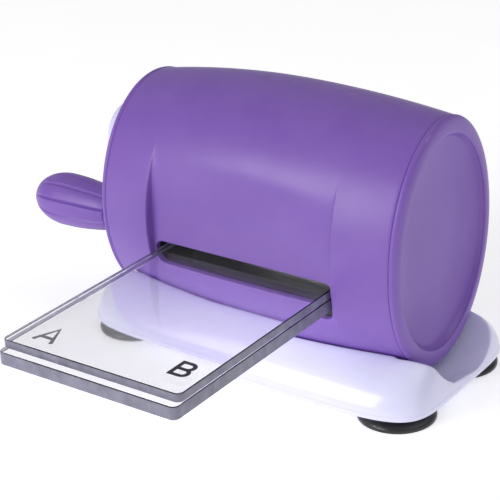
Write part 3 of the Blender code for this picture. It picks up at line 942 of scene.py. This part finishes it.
@dataclass
class Barrel:
    """The purple housing: two half shells, two end rims, a dished cover and a domed one."""

    middle: Pair = (1.6, 59.3)
    half: Pair = (42.2, 51.0)
    closed_end_shrink: Pair = (6.4, 3.7)
    crank_end_shrink: Pair = (5.8, 6.0)
    shrink_at: float = 65.0
    end: float = 62.4
    wall: float = 2.4
    gap: float = 0.3
    panel_depth: float = 36.4
    panel_half_width: float = 39.6
    panel_ramp: float = 1.8
    panel_side_rise: float = 9.0
    edge_blend: float = 1.4
    crease: float = 0.04
    slot_half_width: float = 39.2
    slot_span: Pair = (36.5, 51.1)
    slot_corner: float = 3.0
    slot_flare: float = 0.9
    slot_from: float = 26.0
    lip_x: float = 57.5
    rim_face: float = 65.3
    cover_half: Pair = (31.2, 41.2)
    cover_seat: float = 58.0
    cover_edge: float = 64.9
    cover_wall: float = 2.2
    dish: tuple[Pair, ...] = (
        (0.4, 0.0), (0.55, 0.15), (1.1, 0.5), (2.2, 1.3), (2.9, 2.6), (3.5, 4.6), (4.1, 8.0), (4.6, 13.0),
        (4.8, 24.0),
    )
    dome_rise: float = 4.4
    dome_reach: float = 28.0
    crank_hole: tuple[float, float, float] = (0.0, 77.0, 6.3)
    sides: int = 160

    def half_sizes(self, x: float, inset: float = 0.0) -> Pair:
        """Half depth and half height of the barrel at x.

        Args:
            x: The place along the barrel.
            inset: How far inside the skin.

        Returns:
            The two halves.
        """
        square = (x / self.shrink_at) ** 2
        depth, height = self.closed_end_shrink if x > 0 else self.crank_end_shrink
        return self.half[0] - depth * square - inset, self.half[1] - height * square - inset

    def half_section(self, x: float, inset: float, limit: float, steps: int = 130) -> Ring:
        """Half an ellipse past the feed side, held back to the sunk panel with rounded corners.

        Args:
            x: The place along the barrel.
            inset: How far inside the skin.
            limit: The greatest depth from the middle.
            steps: How many steps the half has.

        Returns:
            The line, from top to bottom.
        """
        depth, height = self.half_sizes(x, inset)
        line = []
        for i in range(steps + 1):
            turn = math.pi * i / steps
            reach = soft_min(depth * math.sin(turn), limit, self.edge_blend)
            y = self.middle[0] - max(reach, self.gap / 2)
            line.append((x, y, self.middle[1] + height * math.cos(turn)))
        return line

    def shell_section(self, x: float, ease: float) -> Ring:
        """The closed outline of a half shell at x, with its end edges eased by a little.

        Args:
            x: The place along the barrel.
            ease: How far the outer edge is eased.

        Returns:
            The closed outline.
        """
        out = max(0.0, abs(x) - self.panel_half_width) / self.panel_ramp
        limit = self.panel_depth + self.panel_side_rise * smooth_step(out) + (FAR if out >= 1 else 0.0)
        pocket = abs(x) <= self.panel_half_width + self.wall
        outer = self.half_section(x, ease, limit)
        inner = self.half_section(x, self.wall, self.panel_depth - self.wall if pocket else FAR)
        return outer + inner[::-1]

    def stations(self) -> list[Pair]:
        """Places along the shell, close together at the panel's sides, with the easing at each.

        Returns:
            (x, easing) pairs, from left to right.
        """
        wide = self.panel_half_width
        right = [x * 3.3 for x in range(12)]
        right += [wide + self.panel_ramp * i / 12 for i in range(13)]
        right += [wide + self.wall, wide + self.wall + 0.4, *(44.0 + 2.5 * i for i in range(7)), 61.0]
        both = [(-x, 0.0) for x in reversed(right[1:])] + [(x, 0.0) for x in right]
        ends = [(self.end - 0.3, 0.0), (self.end - 0.1, 0.06), (self.end, 0.2)]
        return [(-x, e) for x, e in reversed(ends)] + both + ends

    def slot_tool(self, side: int) -> bmesh.types.BMesh:
        """The long slot's cutter, flared where it meets the panel so that the lip is round.

        Args:
            side: -1 for the front and 1 for the rear.

        Returns:
            The closed cutter.
        """
        middle, half = sum(self.slot_span) / 2, (self.slot_span[1] - self.slot_span[0]) / 2
        surface, radius = self.panel_depth, self.slot_flare
        rings = []
        flare = [(self.slot_from, 0.0), (surface - radius, 0.0)]
        flare += [
            (surface - radius + radius * math.sin(t), radius * (1 - math.cos(t)))
            for t in (0.5, 0.9, 1.25, 1.57)
        ]
        flare.append((surface + 14.0, radius))
        for reach, grow in flare:
            outline = rounded_rectangle(
                (self.slot_half_width + grow * 0.35, half + grow), self.slot_corner + grow * 0.35, 10
            )
            rings.append([(a, self.middle[0] + side * reach, middle + b) for a, b in outline])
        return loft(rings)

    def build(self, bench: Bench) -> None:
        """Makes the shells, the rims and the covers.

        Args:
            bench: The bench.
        """
        sections = [self.shell_section(x, ease) for x, ease in self.stations()]
        front = bench.loose("barrel_front", loft(sections))
        bench.cut(front, [self.slot_tool(-1)])
        bench.finish(front, Body.HOUSING, PURPLE, ["front_shell"], 24)
        mirrored = [[(x, 2 * self.middle[0] - y, z) for x, y, z in ring] for ring in sections]
        rear = bench.loose("barrel_rear", loft(mirrored))
        bench.cut(rear, [self.slot_tool(1)])
        bench.finish(rear, Body.HOUSING, PURPLE, ["rear_shell"], 24)
        for name, side, node in (("rim_right", 1, "right_end_ring"), ("rim_left", -1, "left_end_ring")):
            bench.piece(name, self.rim(side), Body.HOUSING, PURPLE, [node], 40)
        dish = self.cover(1, spline(self.dish, 5))
        bench.piece("dished_cover", dish, Body.HOUSING, PURPLE, ["right_cover"], 40)
        turns = [math.radians(3.0 * i) for i in range(26)]
        dome = [(0.3 - self.dome_rise * math.sin(t), self.dome_reach * (1 - math.cos(t))) for t in turns]
        left = bench.loose("domed_cover", self.cover(-1, dome))
        y, z, radius = self.crank_hole
        bench.cut(left, [turned_x(((-90.0, radius), (-58.0, radius)), (y, z))])
        bench.finish(left, Body.HOUSING, PURPLE, ["left_cover"], 40)

    def rim(self, side: int) -> bmesh.types.BMesh:
        """A rounded rim with a lip that sits inside the shells.

        Args:
            side: 1 for the closed end, -1 for the crank's end.

        Returns:
            The closed rim.
        """
        groove, lip = self.end + self.crease, -self.wall - self.gap
        shell = self.half_sizes(side * self.end)
        cover = self.cover_half[0] + self.crease, self.cover_half[1] + self.crease
        bead = ((0.0, -0.5), (0.02, -0.2), (0.35, 0.05), (1.0, 0.22), (1.8, -0.2), (2.4, -1.3), (2.78, -2.8))
        stations = [(self.lip_x, shell, lip), (groove, shell, lip)]
        stations += [(groove + reach, shell, grow) for reach, grow in spline(bead, 4)]
        face = self.rim_face
        stations += [(face, cover, 1.6), (face - 0.02, cover, 0.8), (face - 0.15, cover, 0.3)]
        stations += [(face - 0.4, cover, 0.05), (face - 0.7, cover, 0.0)]
        stations.append((self.lip_x, cover, 0.0))
        rings = [
            ellipse_x(side * x, self.middle, (half[0] + grow, half[1] + grow), self.sides)
            for x, half, grow in stations
        ]
        return loft(rings, loop=True)

    def cover(self, side: int, profile: Sequence[Pair]) -> bmesh.types.BMesh:
        """An oval cover from its face to its seat and back inside.

        Args:
            side: 1 for the closed end, -1 for the crank's end.
            profile: (drop below the edge, inset from the rim) pairs, rim first.

        Returns:
            The closed cover.
        """
        face = [(self.cover_edge - drop, inset) for drop, inset in profile]
        back = [(x - self.cover_wall, inset) for x, inset in face if inset > self.cover_wall + self.gap]
        outline = face[::-1] + [(self.cover_seat, 0.0), (self.cover_seat, self.cover_wall)] + back
        depth, height = self.cover_half
        rings = [
            ellipse_x(side * x, self.middle, (depth - inset, height - inset), self.sides)
            for x, inset in outline
        ]
        return loft(rings)


# ---------------------------------------------------------------- base and feet


@dataclass
class Base:
    """The white base that cradles the barrel, on four suction feet."""

    barrel: Barrel
    low: float = 5.0
    half_length: float = 76.0
    half_depth: float = 41.5
    dome: float = 22.8
    top: float = 24.0
    power: float = 6.2
    recess: float = 1.5
    scoop_middle: Pair = (4.0, 24.0)
    scoop_half: Pair = (22.5, 16.8)
    scoop_start: float = 56.0
    blend: float = 0.55
    foot: Pair = (60.2, 24.0)
    foot_profile: tuple[Pair, ...] = (
        (0.0, 14.55), (0.15, 14.7), (0.9, 14.75), (1.5, 14.55), (2.2, 13.9), (2.9, 12.6), (3.5, 10.9),
        (4.1, 9.0), (4.6, 6.4),
    )
    around: int = 320
    levels: int = 52
    inner_rings: int = 62
    end_taper: float = 4.2
    end_taper_height: float = 17.0
    screw_pitch: Pair = (102.0, 16.0)

    def outline(self, z: float, inset: float = 0.0, shrink: float = 1.0) -> Ring:
        """The base's plan at a height, as a rounded oblong.

        Args:
            z: The height.
            inset: How far inside the plan.
            shrink: The share of its full size.

        Returns:
            The ring.
        """
        rise = (z - self.low) / self.dome
        length = self.half_length - self.end_taper * ((z - self.low) / self.end_taper_height) ** 2 - inset
        depth = self.half_depth * math.sqrt(1 - rise * rise) - inset
        ring = []
        for i in range(self.around):
            turn = 2 * math.pi * (i + 0.5) / self.around
            c, s = math.cos(turn), math.sin(turn)
            x = shrink * length * math.copysign(abs(c) ** (2 / self.power), c)
            y = shrink * depth * math.copysign(abs(s) ** (2 / self.power), s)
            ring.append((x, y, z))
        return ring

    def cradle(self, x: float, y: float) -> float:
        """The height of the barrel's seat above a point, or a great height beside it.

        Args:
            x: The place along the base.
            y: The place across it.

        Returns:
            The height.
        """
        grow = 0.3 + 0.7 * smooth_step((abs(x) - 58.0) / 2.5)
        depth, height = self.barrel.half_sizes(max(-75.0, min(75.0, x)), -grow)
        off = (y - self.barrel.middle[0]) / depth
        return self.barrel.middle[1] - height * math.sqrt(1 - off * off) if abs(off) < 1 else FAR

    def scoop(self, x: float, y: float) -> float:
        """The height of the scoop's floor at an end, or a great height away from it.

        Args:
            x: The place along the base.
            y: The place across it.

        Returns:
            The height.
        """
        off = (y - self.scoop_middle[0]) / self.scoop_half[0]
        if abs(off) >= 1:
            return FAR
        floor = self.scoop_middle[1] - self.scoop_half[1] * math.sqrt(1 - off * off)
        return floor + 40.0 * (1 - smooth_step((abs(x) - self.scoop_start + 1.0) / 2.0))

    def lowered(self, ring: Ring) -> Ring:
        """A ring with its points let down onto the cradle and the scoops, with soft edges.

        Args:
            ring: The ring before.

        Returns:
            The ring after.
        """
        out = []
        for x, y, z in ring:
            hollow = soft_min(self.cradle(x, y), self.scoop(x, y), 0.9)
            out.append((x, y, max(self.low + self.recess + 0.4, soft_min(z, hollow, self.blend))))
        return out

    def skin(self) -> bmesh.types.BMesh:
        """The whole base as one closed skin.

        Returns:
            The closed mesh.
        """
        under = self.low + self.recess
        edge = [(self.low + 0.35, 0.0), (self.low + 0.1, 0.1), (self.low, 0.35), (self.low, 2.1)]
        edge += [(self.low + 0.1, 2.35), (under, 2.6)]
        rings = [[(x, y, under) for x, y, _ in self.outline(self.low, 14.0)]]
        for z, inset in reversed(edge):
            rings.append([(x, y, z) for x, y, _ in self.outline(self.low, inset)])
        for i in range(1, self.levels + 1):
            z = self.low + 0.35 + (self.top - self.low - 0.35) * i / self.levels
            rings.append(self.lowered(self.outline(z)))
        for i in range(1, self.inner_rings):
            rings.append(self.lowered(self.outline(self.top, 0.0, 1 - i / self.inner_rings)))
        return loft(rings)

    def cup(self) -> bmesh.types.BMesh:
        """One suction foot about the drawing's own middle, ready to be repeated.

        Returns:
            The closed mesh.
        """
        outer = spline(self.foot_profile, 4)
        inner = [(4.6, 3.0), (3.2, 3.0), (3.2, 6.5), (2.6, 8.5), (2.0, 10.0), (1.0, 11.8), (0.0, 13.2)]
        return turned_z(outer + inner, (ORIGIN_X, ORIGIN_Y), hollow=True, sides=96)

    def build(self, bench: Bench) -> None:
        """Makes the base and the feet, and dresses the parts under them.

        Args:
            bench: The bench.
        """
        bench.piece("cradle_base", self.skin(), Body.HOUSING, WHITE, ["base_shell"], 50)
        corners = ("fl", "fr", "bl", "br")
        bench.grown(
            "suction_feet", bench.on_rectangle, self.cup(),
            {
                "Pitch X": 2 * self.foot[0] * MM, "Pitch Y": 2 * self.foot[1] * MM,
                "Count X": 2, "Count Y": 2, "Middle": place(0.0, 0.0, 0.0),
            },
            Body.HOUSING, RUBBER, [f"foot_{corner}" for corner in corners],
        )
        bench.redress(["base_bottom"], WHITE)
        bench.redress([f"foot_stud_{corner}" for corner in corners], PLATED)
        screw = ((3.3, 2.1), (3.45, 2.8), (3.8, 3.0), (4.6, 3.0), (4.75, 2.8), (4.75, 1.6), (24.0, 1.6))
        bench.grown(
            "frame_screws", bench.on_rectangle, turned_z(screw, (ORIGIN_X, ORIGIN_Y), sides=36),
            {
                "Pitch X": self.screw_pitch[0] * MM, "Pitch Y": self.screw_pitch[1] * MM,
                "Count X": 2, "Count Y": 2, "Middle": place(0.0, 0.0, 0.0),
            },
            Body.HOUSING, PLATED, [f"frame_screw_{corner}" for corner in corners],
        )


# ---------------------------------------------------------------- inside works


@dataclass
class Works:
    """The frames, rollers, bushes and gears inside the barrel."""

    roller_radius: float = 12.0
    upper_z: float = 60.6
    lower_z: float = 27.5
    crank_z: float = 77.0
    teeth: int = 16
    pinion_teeth: int = 10
    gear_span: Pair = (-58.5, -52.0)
    pressure: float = math.radians(25.0)
    backlash: float = 0.34

    def build(self, bench: Bench) -> None:
        """Makes the turned parts and the gears, and dresses the frames.

        Args:
            bench: The bench.
        """
        bench.redress(["side_frame_left", "side_frame_right"], PLATED)
        bench.redress(["platen_front", "platen_rear"], GRAPHITE)
        self.tie_bars(bench)
        self.bushes(bench)
        for name, body, z, neck, left in (
            ("upper", Body.UPPER, self.upper_z, 4.0, -60.0), ("lower", Body.LOWER, self.lower_z, 3.5, -50.0),
        ):
            axle = (
                (left, neck - 0.5), (left + 0.5, neck), (-41.0, neck), (-41.0, 5.0),
                (41.0, 5.0), (41.0, neck), (49.5, neck), (50.0, neck - 0.5),
            )
            bench.piece(f"{name}_shaft", turned_x(axle, (0.0, z)), body, STEEL, [f"{name}_axle"])
            radius = self.roller_radius
            sleeve = (
                (-40.0, 11.2), (-39.8, 11.7), (-39.3, radius), (39.3, radius), (39.8, 11.7), (40.0, 11.2),
                (40.0, 5.6), (39.7, 5.3), (-39.7, 5.3), (-40.0, 5.6),
            )
            roll = turned_x(sleeve, (0.0, z), True, 120)
            bench.piece(f"{name}_press_roll", roll, body, STEEL, [f"{name}_roller"])
        self.gear(bench, "roller_gear", "drive_gear", Body.UPPER, self.teeth, 0.0, self.upper_z, 4.3)
        half_pitch = math.pi / self.pinion_teeth
        first = math.pi + half_pitch
        self.gear(bench, "crank_pinion", "pinion", Body.CRANK, self.pinion_teeth, first, self.crank_z, 3.8)

    def tie_bars(self, bench: Bench) -> None:
        """Four bars that hold the side frames apart.

        Args:
            bench: The bench.
        """
        bar = (
            (-48.5, 1.5), (-48.0, 2.0), (-43.7, 2.0), (-43.7, 2.7), (-43.4, 3.0), (43.4, 3.0), (43.7, 2.7),
            (43.7, 2.0), (48.0, 2.0), (48.5, 1.5),
        )
        for label, y, z in (("lower", 19.0, 32.2), ("upper", 17.0, 88.0)):
            for end, side in (("front", -1), ("rear", 1)):
                node = f"tie_bar_{label}_{end}"
                rod = turned_x(bar, (side * y, z))
                bench.piece(f"tie_{label}_{end}", rod, Body.HOUSING, PLATED, [node])

    def bushes(self, bench: Bench) -> None:
        """The bronze bushes that the shafts turn in.

        Args:
            bench: The bench.
        """
        rows = [("bush_crank_inner", (-48.4, -43.7), self.crank_z, 3.8, 5.5)]
        rows.append(("bush_crank_outer", (-71.2, -64.8), self.crank_z, 3.8, 6.0))
        for side, label in ((1, "right"), (-1, "left")):
            span = tuple(sorted((side * 43.7, side * 48.4)))
            rows.append((f"bush_upper_{label}", span, self.upper_z, 4.3, 6.0))
            rows.append((f"bush_lower_{label}", span, self.lower_z, 3.8, 5.5))
        for node, (start, end), z, inner, outer in rows:
            profile = (
                (start, outer - 0.3), (start + 0.3, outer), (end - 0.3, outer), (end, outer - 0.3),
                (end, inner + 0.3), (end - 0.3, inner), (start + 0.3, inner), (start, inner + 0.3),
            )
            name = node.replace("bush", "sleeve")
            bench.piece(name, turned_x(profile, (0.0, z), True, 64), Body.HOUSING, BRONZE, [node])

    def tooth(self, teeth: int, z: float, bore: float) -> bmesh.types.BMesh:
        """One tooth with its wedge of the gear's body, from bore to tip, pointing up.

        Args:
            teeth: The gear's number of teeth.
            z: The shaft's height.
            bore: The bore's radius.

        Returns:
            The wedge.
        """
        module = 2 * (self.crank_z - self.upper_z) / (self.teeth + self.pinion_teeth)
        pitch = teeth * module / 2
        foot_radius = pitch * math.cos(self.pressure)
        tip, root = pitch + 0.85 * module, pitch - 1.15 * module
        spread_at_pitch = math.tan(self.pressure) - self.pressure

        def half_angle(radius: float) -> float:
            """Half the tooth's angle at a radius.

            Args:
                radius: The radius.

            Returns:
                The angle.
            """
            turn = math.acos(min(1.0, foot_radius / max(radius, foot_radius)))
            shift = spread_at_pitch - (math.tan(turn) - turn)
            return math.pi / (2 * teeth) - self.backlash / (2 * pitch) + shift

        flank = [root + (tip - root) * i / 7 for i in range(8)]
        half_pitch = math.pi / teeth
        left = [(root, -half_pitch), (root, -half_angle(root) - 0.02)] + [(r, -half_angle(r)) for r in flank]
        right = [(radius, -turn) for radius, turn in reversed(left)]
        inside = [(bore, half_pitch * (1 - 2 * i / 6)) for i in range(7)]
        outline = left + right + inside
        rings = [
            [(x, r * math.sin(t), z + r * math.cos(t)) for r, t in outline] for x in self.gear_span
        ]
        return loft(rings)

    def gear(
        self, bench: Bench, name: str, node: str, body: Body, teeth: int, first: float, z: float, bore: float
    ) -> None:
        """A gear, grown as one tooth repeated round its shaft.

        Args:
            bench: The bench.
            name: The piece's name.
            node: The CAD node it replaces.
            body: The CAD body it rides on.
            teeth: Its number of teeth.
            first: The first tooth's turn from the top.
            z: The shaft's height.
            bore: The bore's radius.
        """
        seed = self.tooth(teeth, z, bore)
        bmesh.ops.translate(seed, verts=seed.verts, vec=-place(0.0, 0.0, z))
        values = {"Count": teeth, "First turn": -first, "Axis": place(0.0, 0.0, z)}
        mesh = bench.round_shaft.grow(name, seed, {**values, "Finish": bench.material(NYLON)})
        bm = bmesh.new()
        bm.from_mesh(mesh)
        bmesh.ops.remove_doubles(bm, verts=bm.verts, dist=2e-6)
        walls = [f for f in bm.faces if all(len(e.link_faces) > 2 for e in f.edges if e.calc_length() > 3e-3)]
        bmesh.ops.delete(bm, geom=[f for f in walls if abs(f.normal.x) < 0.5], context="FACES_ONLY")
        bm.to_mesh(mesh)
        bm.free()
        item = bpy.data.objects.new(name, mesh)
        bpy.context.scene.collection.objects.link(item)
        bench.finish(item, body, NYLON, [node], 30)


# ---------------------------------------------------------------- crank


@dataclass
class Crank:
    """The crank's shaft, white arm, cap and fluted grip."""

    shaft_z: float = 77.0
    arm_span: Pair = (-79.8, -71.7)
    arm_round: float = 2.2
    hub_radius: float = 12.5
    tip_radius: float = 9.0
    grip_axis: Pair = (-9.5, 45.6)
    grip_tip: float = -120.0
    grip_profile: tuple[Pair, ...] = (
        (-80.3, 7.4), (-80.45, 7.85), (-81.1, 8.2), (-84.0, 9.0), (-90.0, 9.9), (-97.0, 10.6),
        (-104.0, 10.8),
    )
    nose: float = 16.0
    flutes: float = 10.0
    flute_depth: float = 0.75
    flute_half_width: float = 0.13
    flute_fade: Pair = (-118.6, -110.0)

    def arm_ring(self, x: float, inset: float, steps: int = 44) -> Ring:
        """The arm's outline: two arcs joined by their outer tangents.

        Args:
            x: The place along the shaft.
            inset: How far inside the outline.
            steps: How many steps an arc has.

        Returns:
            The ring.
        """
        dy, dz = self.grip_axis[0], self.grip_axis[1] - self.shaft_z
        length, heading = math.hypot(dy, dz), math.atan2(dz, dy)
        lean = math.acos((self.hub_radius - self.tip_radius) / length)
        ring = []
        for centre, radius, start, end in (
            ((0.0, self.shaft_z), self.hub_radius - inset, lean, 2 * math.pi - lean),
            (self.grip_axis, self.tip_radius - inset, -lean, lean),
        ):
            for i in range(steps + 1):
                turn = heading + start + (end - start) * i / steps
                ring.append((x, centre[0] + radius * math.cos(turn), centre[1] + radius * math.sin(turn)))
        return ring

    def arm(self) -> bmesh.types.BMesh:
        """The white arm with soft edges and a shallow dished face between its ends.

        Returns:
            The closed mesh.
        """
        outer, inner = self.arm_span
        steps = [(outer + 0.35, 6.2), (outer + 0.3, 3.6), (outer + 0.05, 3.1), (outer, 2.7)]
        steps += [
            (outer + self.arm_round * (1 - math.cos(t)), self.arm_round * (1 - math.sin(t)))
            for t in (0.2, 0.45, 0.75, 1.1, 1.57)
        ]
        steps += [(inner - 1.0 + math.sin(t), 1 - math.cos(t)) for t in (0.0, 0.4, 0.8, 1.2, 1.57)]
        return loft([self.arm_ring(x, inset) for x, inset in steps])

    def grip_body(self) -> bmesh.types.BMesh:
        """The grip before its grooves: a slim neck that swells to a round nose.

        Returns:
            The closed mesh.
        """
        shoulder, widest = self.grip_profile[-1]
        line = spline(self.grip_profile, 6)
        for i in range(1, 27):
            turn = math.radians(90.0 * i / 27.0)
            line.append((shoulder - self.nose * math.sin(turn), widest * math.cos(turn)))
        line.append((self.grip_tip, 0.12))
        return turned_x(line, self.grip_axis, sides=400)

    def build(self, bench: Bench) -> None:
        """Makes the turning parts and the grip.

        Args:
            bench: The bench.
        """
        arm = bench.loose("crank_lever", self.arm())
        bores = [
            turned_x(((-90.0, radius), (-60.0, radius)), (y, z), sides=48)
            for y, z, radius in ((0.0, self.shaft_z, 3.8), (*self.grip_axis, 2.8))
        ]
        bench.cut(arm, bores)
        bench.finish(arm, Body.CRANK, WHITE, ["crank_arm"], 38)
        cap = (
            (-80.1, 7.0), (-80.5, 7.1), (-81.0, 6.9), (-81.6, 6.0), (-82.0, 4.6), (-82.18, 2.4), (-82.2, 0.2),
        )
        button = turned_x(spline(cap, 4), (0.0, self.shaft_z))
        bench.piece("hub_cap", button, Body.CRANK, WHITE, ["crank_cap"], 50)
        shaft = ((-79.6, 3.0), (-79.2, 3.5), (-44.0, 3.5), (-43.7, 3.2))
        bench.piece("crank_rod", turned_x(shaft, (0.0, self.shaft_z)), Body.CRANK, STEEL, ["crank_shaft"])
        pin = ((-72.2, 2.5), (-112.0, 2.5), (-112.6, 1.9))
        bench.piece("grip_stem", turned_x(pin, self.grip_axis), Body.CRANK, STEEL, ["grip_pin"])
        axis = place(0.0, *self.grip_axis)
        values = {
            "Count": self.flutes, "Depth": self.flute_depth * MM, "Half width": self.flute_half_width,
            "Axis Y": axis.y, "Axis Z": axis.z,
            "Tip X": place(self.flute_fade[0], 0, 0).x, "Full X": place(self.flute_fade[1], 0, 0).x,
        }
        bench.grown("fluted_grip", bench.flutes, self.grip_body(), values, Body.GRIP, PURPLE, ["grip"])


# ---------------------------------------------------------------- plates


@dataclass
class Plates:
    """Two clear cutting plates with their plain letters."""

    half_width: float = 38.0
    length: float = 152.4
    corner: float = 2.6
    lower: Pair = (39.8, 44.7)
    upper: Pair = (45.0, 48.3)
    lower_front: float = -125.3
    upper_front: float = -122.6
    lower_mark: Pair = (-31.4, -114.9)
    upper_mark: Pair = (25.3, -113.0)
    stroke: float = 1.55
    ink: float = 0.12

    def sheet(self, bench: Bench, name: str, node: str, front: float, levels: Pair) -> None:
        """One plate with eased edges, whose side faces carry a dark painted shade with pale painted
        highlights on their proud corners.

        Args:
            bench: The bench.
            name: The piece's name.
            node: The CAD node it replaces.
            front: The front edge's place.
            levels: Its lower and upper faces.
        """
        middle = front + self.length / 2
        low, high = levels
        ease = [(0.0, 0.45), (0.06, 0.24), (0.2, 0.08), (0.42, 0.0)]
        rings = []
        for z, inset in [(low + d, i) for d, i in ease] + [(high - d, i) for d, i in reversed(ease)]:
            outline = rounded_rectangle(
                (self.half_width - inset, self.length / 2 - inset), self.corner - inset, 12
            )
            rings.append([(a, middle + b, z) for a, b in outline])
        item = bench.loose(name, loft(rings))
        item.data.materials.append(bench.material(CLEAR))
        # The side faces take the painted dark edge shade with its pale painted highlights.
        item.data.materials.append(bench.material(PAINTED_EDGE_SHADE))
        for face in item.data.polygons:
            face.material_index = 1 if abs(face.normal.z) < 0.35 else 0
        bench.finish(item, Body.PLATES, CLEAR, [node], 12)
        item.visible_shadow = False

    def letter(
        self, bench: Bench, name: str, strokes: Sequence[Sequence[Pair]], corner: Pair, z: float,
        finish: Finish,
    ) -> None:
        """A letter whose strokes follow lines, laid flat on a plate.

        Args:
            bench: The bench.
            name: The piece's name.
            strokes: Lines of points in millimetres from the letter's lower left.
            corner: Where that lower left lies on the plate.
            z: The height of the plate's face.
            finish: The ink.
        """
        bm = bmesh.new()
        for i, line in enumerate(strokes):
            height = z + self.ink * (0.7 + 0.1 * i)
            points = [bm.verts.new(place(corner[0] + x, corner[1] + y, height)) for x, y in line]
            for a, b in zip(points, points[1:]):
                bm.edges.new((a, b))
        values = {"Width": self.stroke * MM, "Thickness": self.ink * MM}
        bench.grown(name, bench.strokes, bm, values, Body.PLATES, finish)

    def build(self, bench: Bench) -> None:
        """Makes both plates and their letters.

        Args:
            bench: The bench.
        """
        self.sheet(bench, "clear_plate_lower", "plate_lower", self.lower_front, self.lower)
        self.sheet(bench, "clear_plate_upper", "plate_upper", self.upper_front, self.upper)
        legs, bar = [(0.7, 0.0), (4.7, 9.9), (8.7, 0.0)], [(2.0, 3.0), (7.4, 3.0)]
        self.letter(bench, "letter_a", [legs, bar], self.lower_mark, self.lower[1], GREY_INK)
        self.letter(bench, "letter_b", self.bowls(), self.upper_mark, self.upper[1], INK)

    def bowls(self) -> list[list[Pair]]:
        """The strokes of the letter on the upper plate: a stem and two round bowls.

        Returns:
            Lines of points from the lower left.
        """
        strokes = [[(0.8, 0.0), (0.8, 9.8)]]
        for low, high, reach in ((0.75, 4.9, 4.6), (4.9, 9.05, 4.2)):
            radius, middle = (high - low) / 2, (high + low) / 2
            arc = [
                (reach + radius * math.sin(math.pi * i / 16), middle - radius * math.cos(math.pi * i / 16))
                for i in range(17)
            ]
            strokes.append([(0.8, low), *arc, (0.8, high)])
        return strokes


# ---------------------------------------------------------------- studio


@dataclass
class Studio:
    """A pale floor, soft lights and the camera."""

    eye: Point = (320.21, -476.56, 299.70)
    azimuth: float = 35.541
    elevation: float = 24.081
    roll: float = -2.0
    lens: float = 117.6
    sensor: float = 36.0
    lights: tuple[tuple[str, Point, float, float, Colour], ...] = (
        ("front_softbox", (-0.45, -1.2, 0.6), 0.8, 11.0, (1.0, 1.0, 1.0)),
        ("side_softbox", (1.25, -0.5, 0.15), 0.7, 1.0, (1.0, 1.0, 1.0)),
        ("top_softbox", (0.8, 0.2, 1.3), 1.1, 3.2, (1.0, 1.0, 1.0)),
    )
    world: float = 0.4
    floor_glow: float = 0.45

    def camera(self) -> None:
        """Sets the camera, turned a little about its own view."""
        a, e, r = (math.radians(v) for v in (self.azimuth, self.elevation, self.roll))
        back = Vector((math.sin(a) * math.cos(e), -math.cos(a) * math.cos(e), math.sin(e)))
        right = Vector((math.cos(a), math.sin(a), 0.0))
        up = back.cross(right)
        across = right * math.cos(r) + up * math.sin(r)
        upright = up * math.cos(r) - right * math.sin(r)
        data = bpy.data.cameras.new("camera")
        data.sensor_width, data.lens, data.clip_start = self.sensor, self.lens, 0.01
        item = bpy.data.objects.new("camera", data)
        matrix = Matrix((across, upright, back)).transposed().to_4x4()
        matrix.translation = place(*self.eye)
        item.matrix_world = matrix
        bpy.context.scene.collection.objects.link(item)
        bpy.context.scene.camera = item

    def floor(self) -> None:
        """The pale floor."""
        bm = bmesh.new()
        bmesh.ops.create_grid(bm, x_segments=2, y_segments=2, size=4.0)
        mesh = bpy.data.meshes.new("floor")
        bm.to_mesh(mesh)
        bm.free()
        item = bpy.data.objects.new("floor", mesh)
        bpy.context.scene.collection.objects.link(item)
        material = bpy.data.materials.new("pale_floor")
        material.use_nodes = True
        shader = material.node_tree.nodes["Principled BSDF"]
        wire = Wiring(material.node_tree)
        tone = wire.spread(wire.noise(60.0, 2.0), 0.3, 0.7, 0.0, 1.0)
        colour = wire.blend(tone, (0.9, 0.9, 0.905), (0.88, 0.88, 0.885))
        material.node_tree.links.new(colour, shader.inputs["Base Color"])
        shader.inputs["Roughness"].default_value = 0.75
        shader.inputs["Emission Color"].default_value = (1.0, 1.0, 1.0, 1.0)
        shader.inputs["Emission Strength"].default_value = self.floor_glow
        mesh.materials.append(material)

    def light(self) -> None:
        """Soft boxes that look at the machine, and a pale world."""
        aim = Vector((0.0, 0.0, 0.05))
        for name, spot, size, energy, colour in self.lights:
            data = bpy.data.lights.new(name, "AREA")
            data.shape, data.size, data.energy, data.color = "SQUARE", size, energy, colour
            item = bpy.data.objects.new(name, data)
            item.location = spot
            item.rotation_euler = (Vector(spot) - aim).to_track_quat("Z", "Y").to_euler()
            bpy.context.scene.collection.objects.link(item)
        world = bpy.data.worlds.new("studio")
        world.use_nodes = True
        sky = world.node_tree.nodes["Background"]
        sky.inputs["Color"].default_value = (1.0, 1.0, 1.0, 1.0)
        sky.inputs["Strength"].default_value = self.world
        bpy.context.scene.world = world
        bpy.context.scene.view_settings.view_transform = "Standard"

    def build(self) -> None:
        """Sets the camera, the floor and the lights."""
        self.camera()
        self.floor()
        self.light()


def main() -> None:
    """Builds every sub-assembly round the frame."""
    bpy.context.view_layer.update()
    Studio().build()
    bench = Bench()
    barrel = Barrel()
    for assembly in (barrel, Base(barrel), Works(), Crank(), Plates()):
        LOG.info("building %s", type(assembly).__name__)
        assembly.build(bench)


if __name__ == "__main__":
    main()
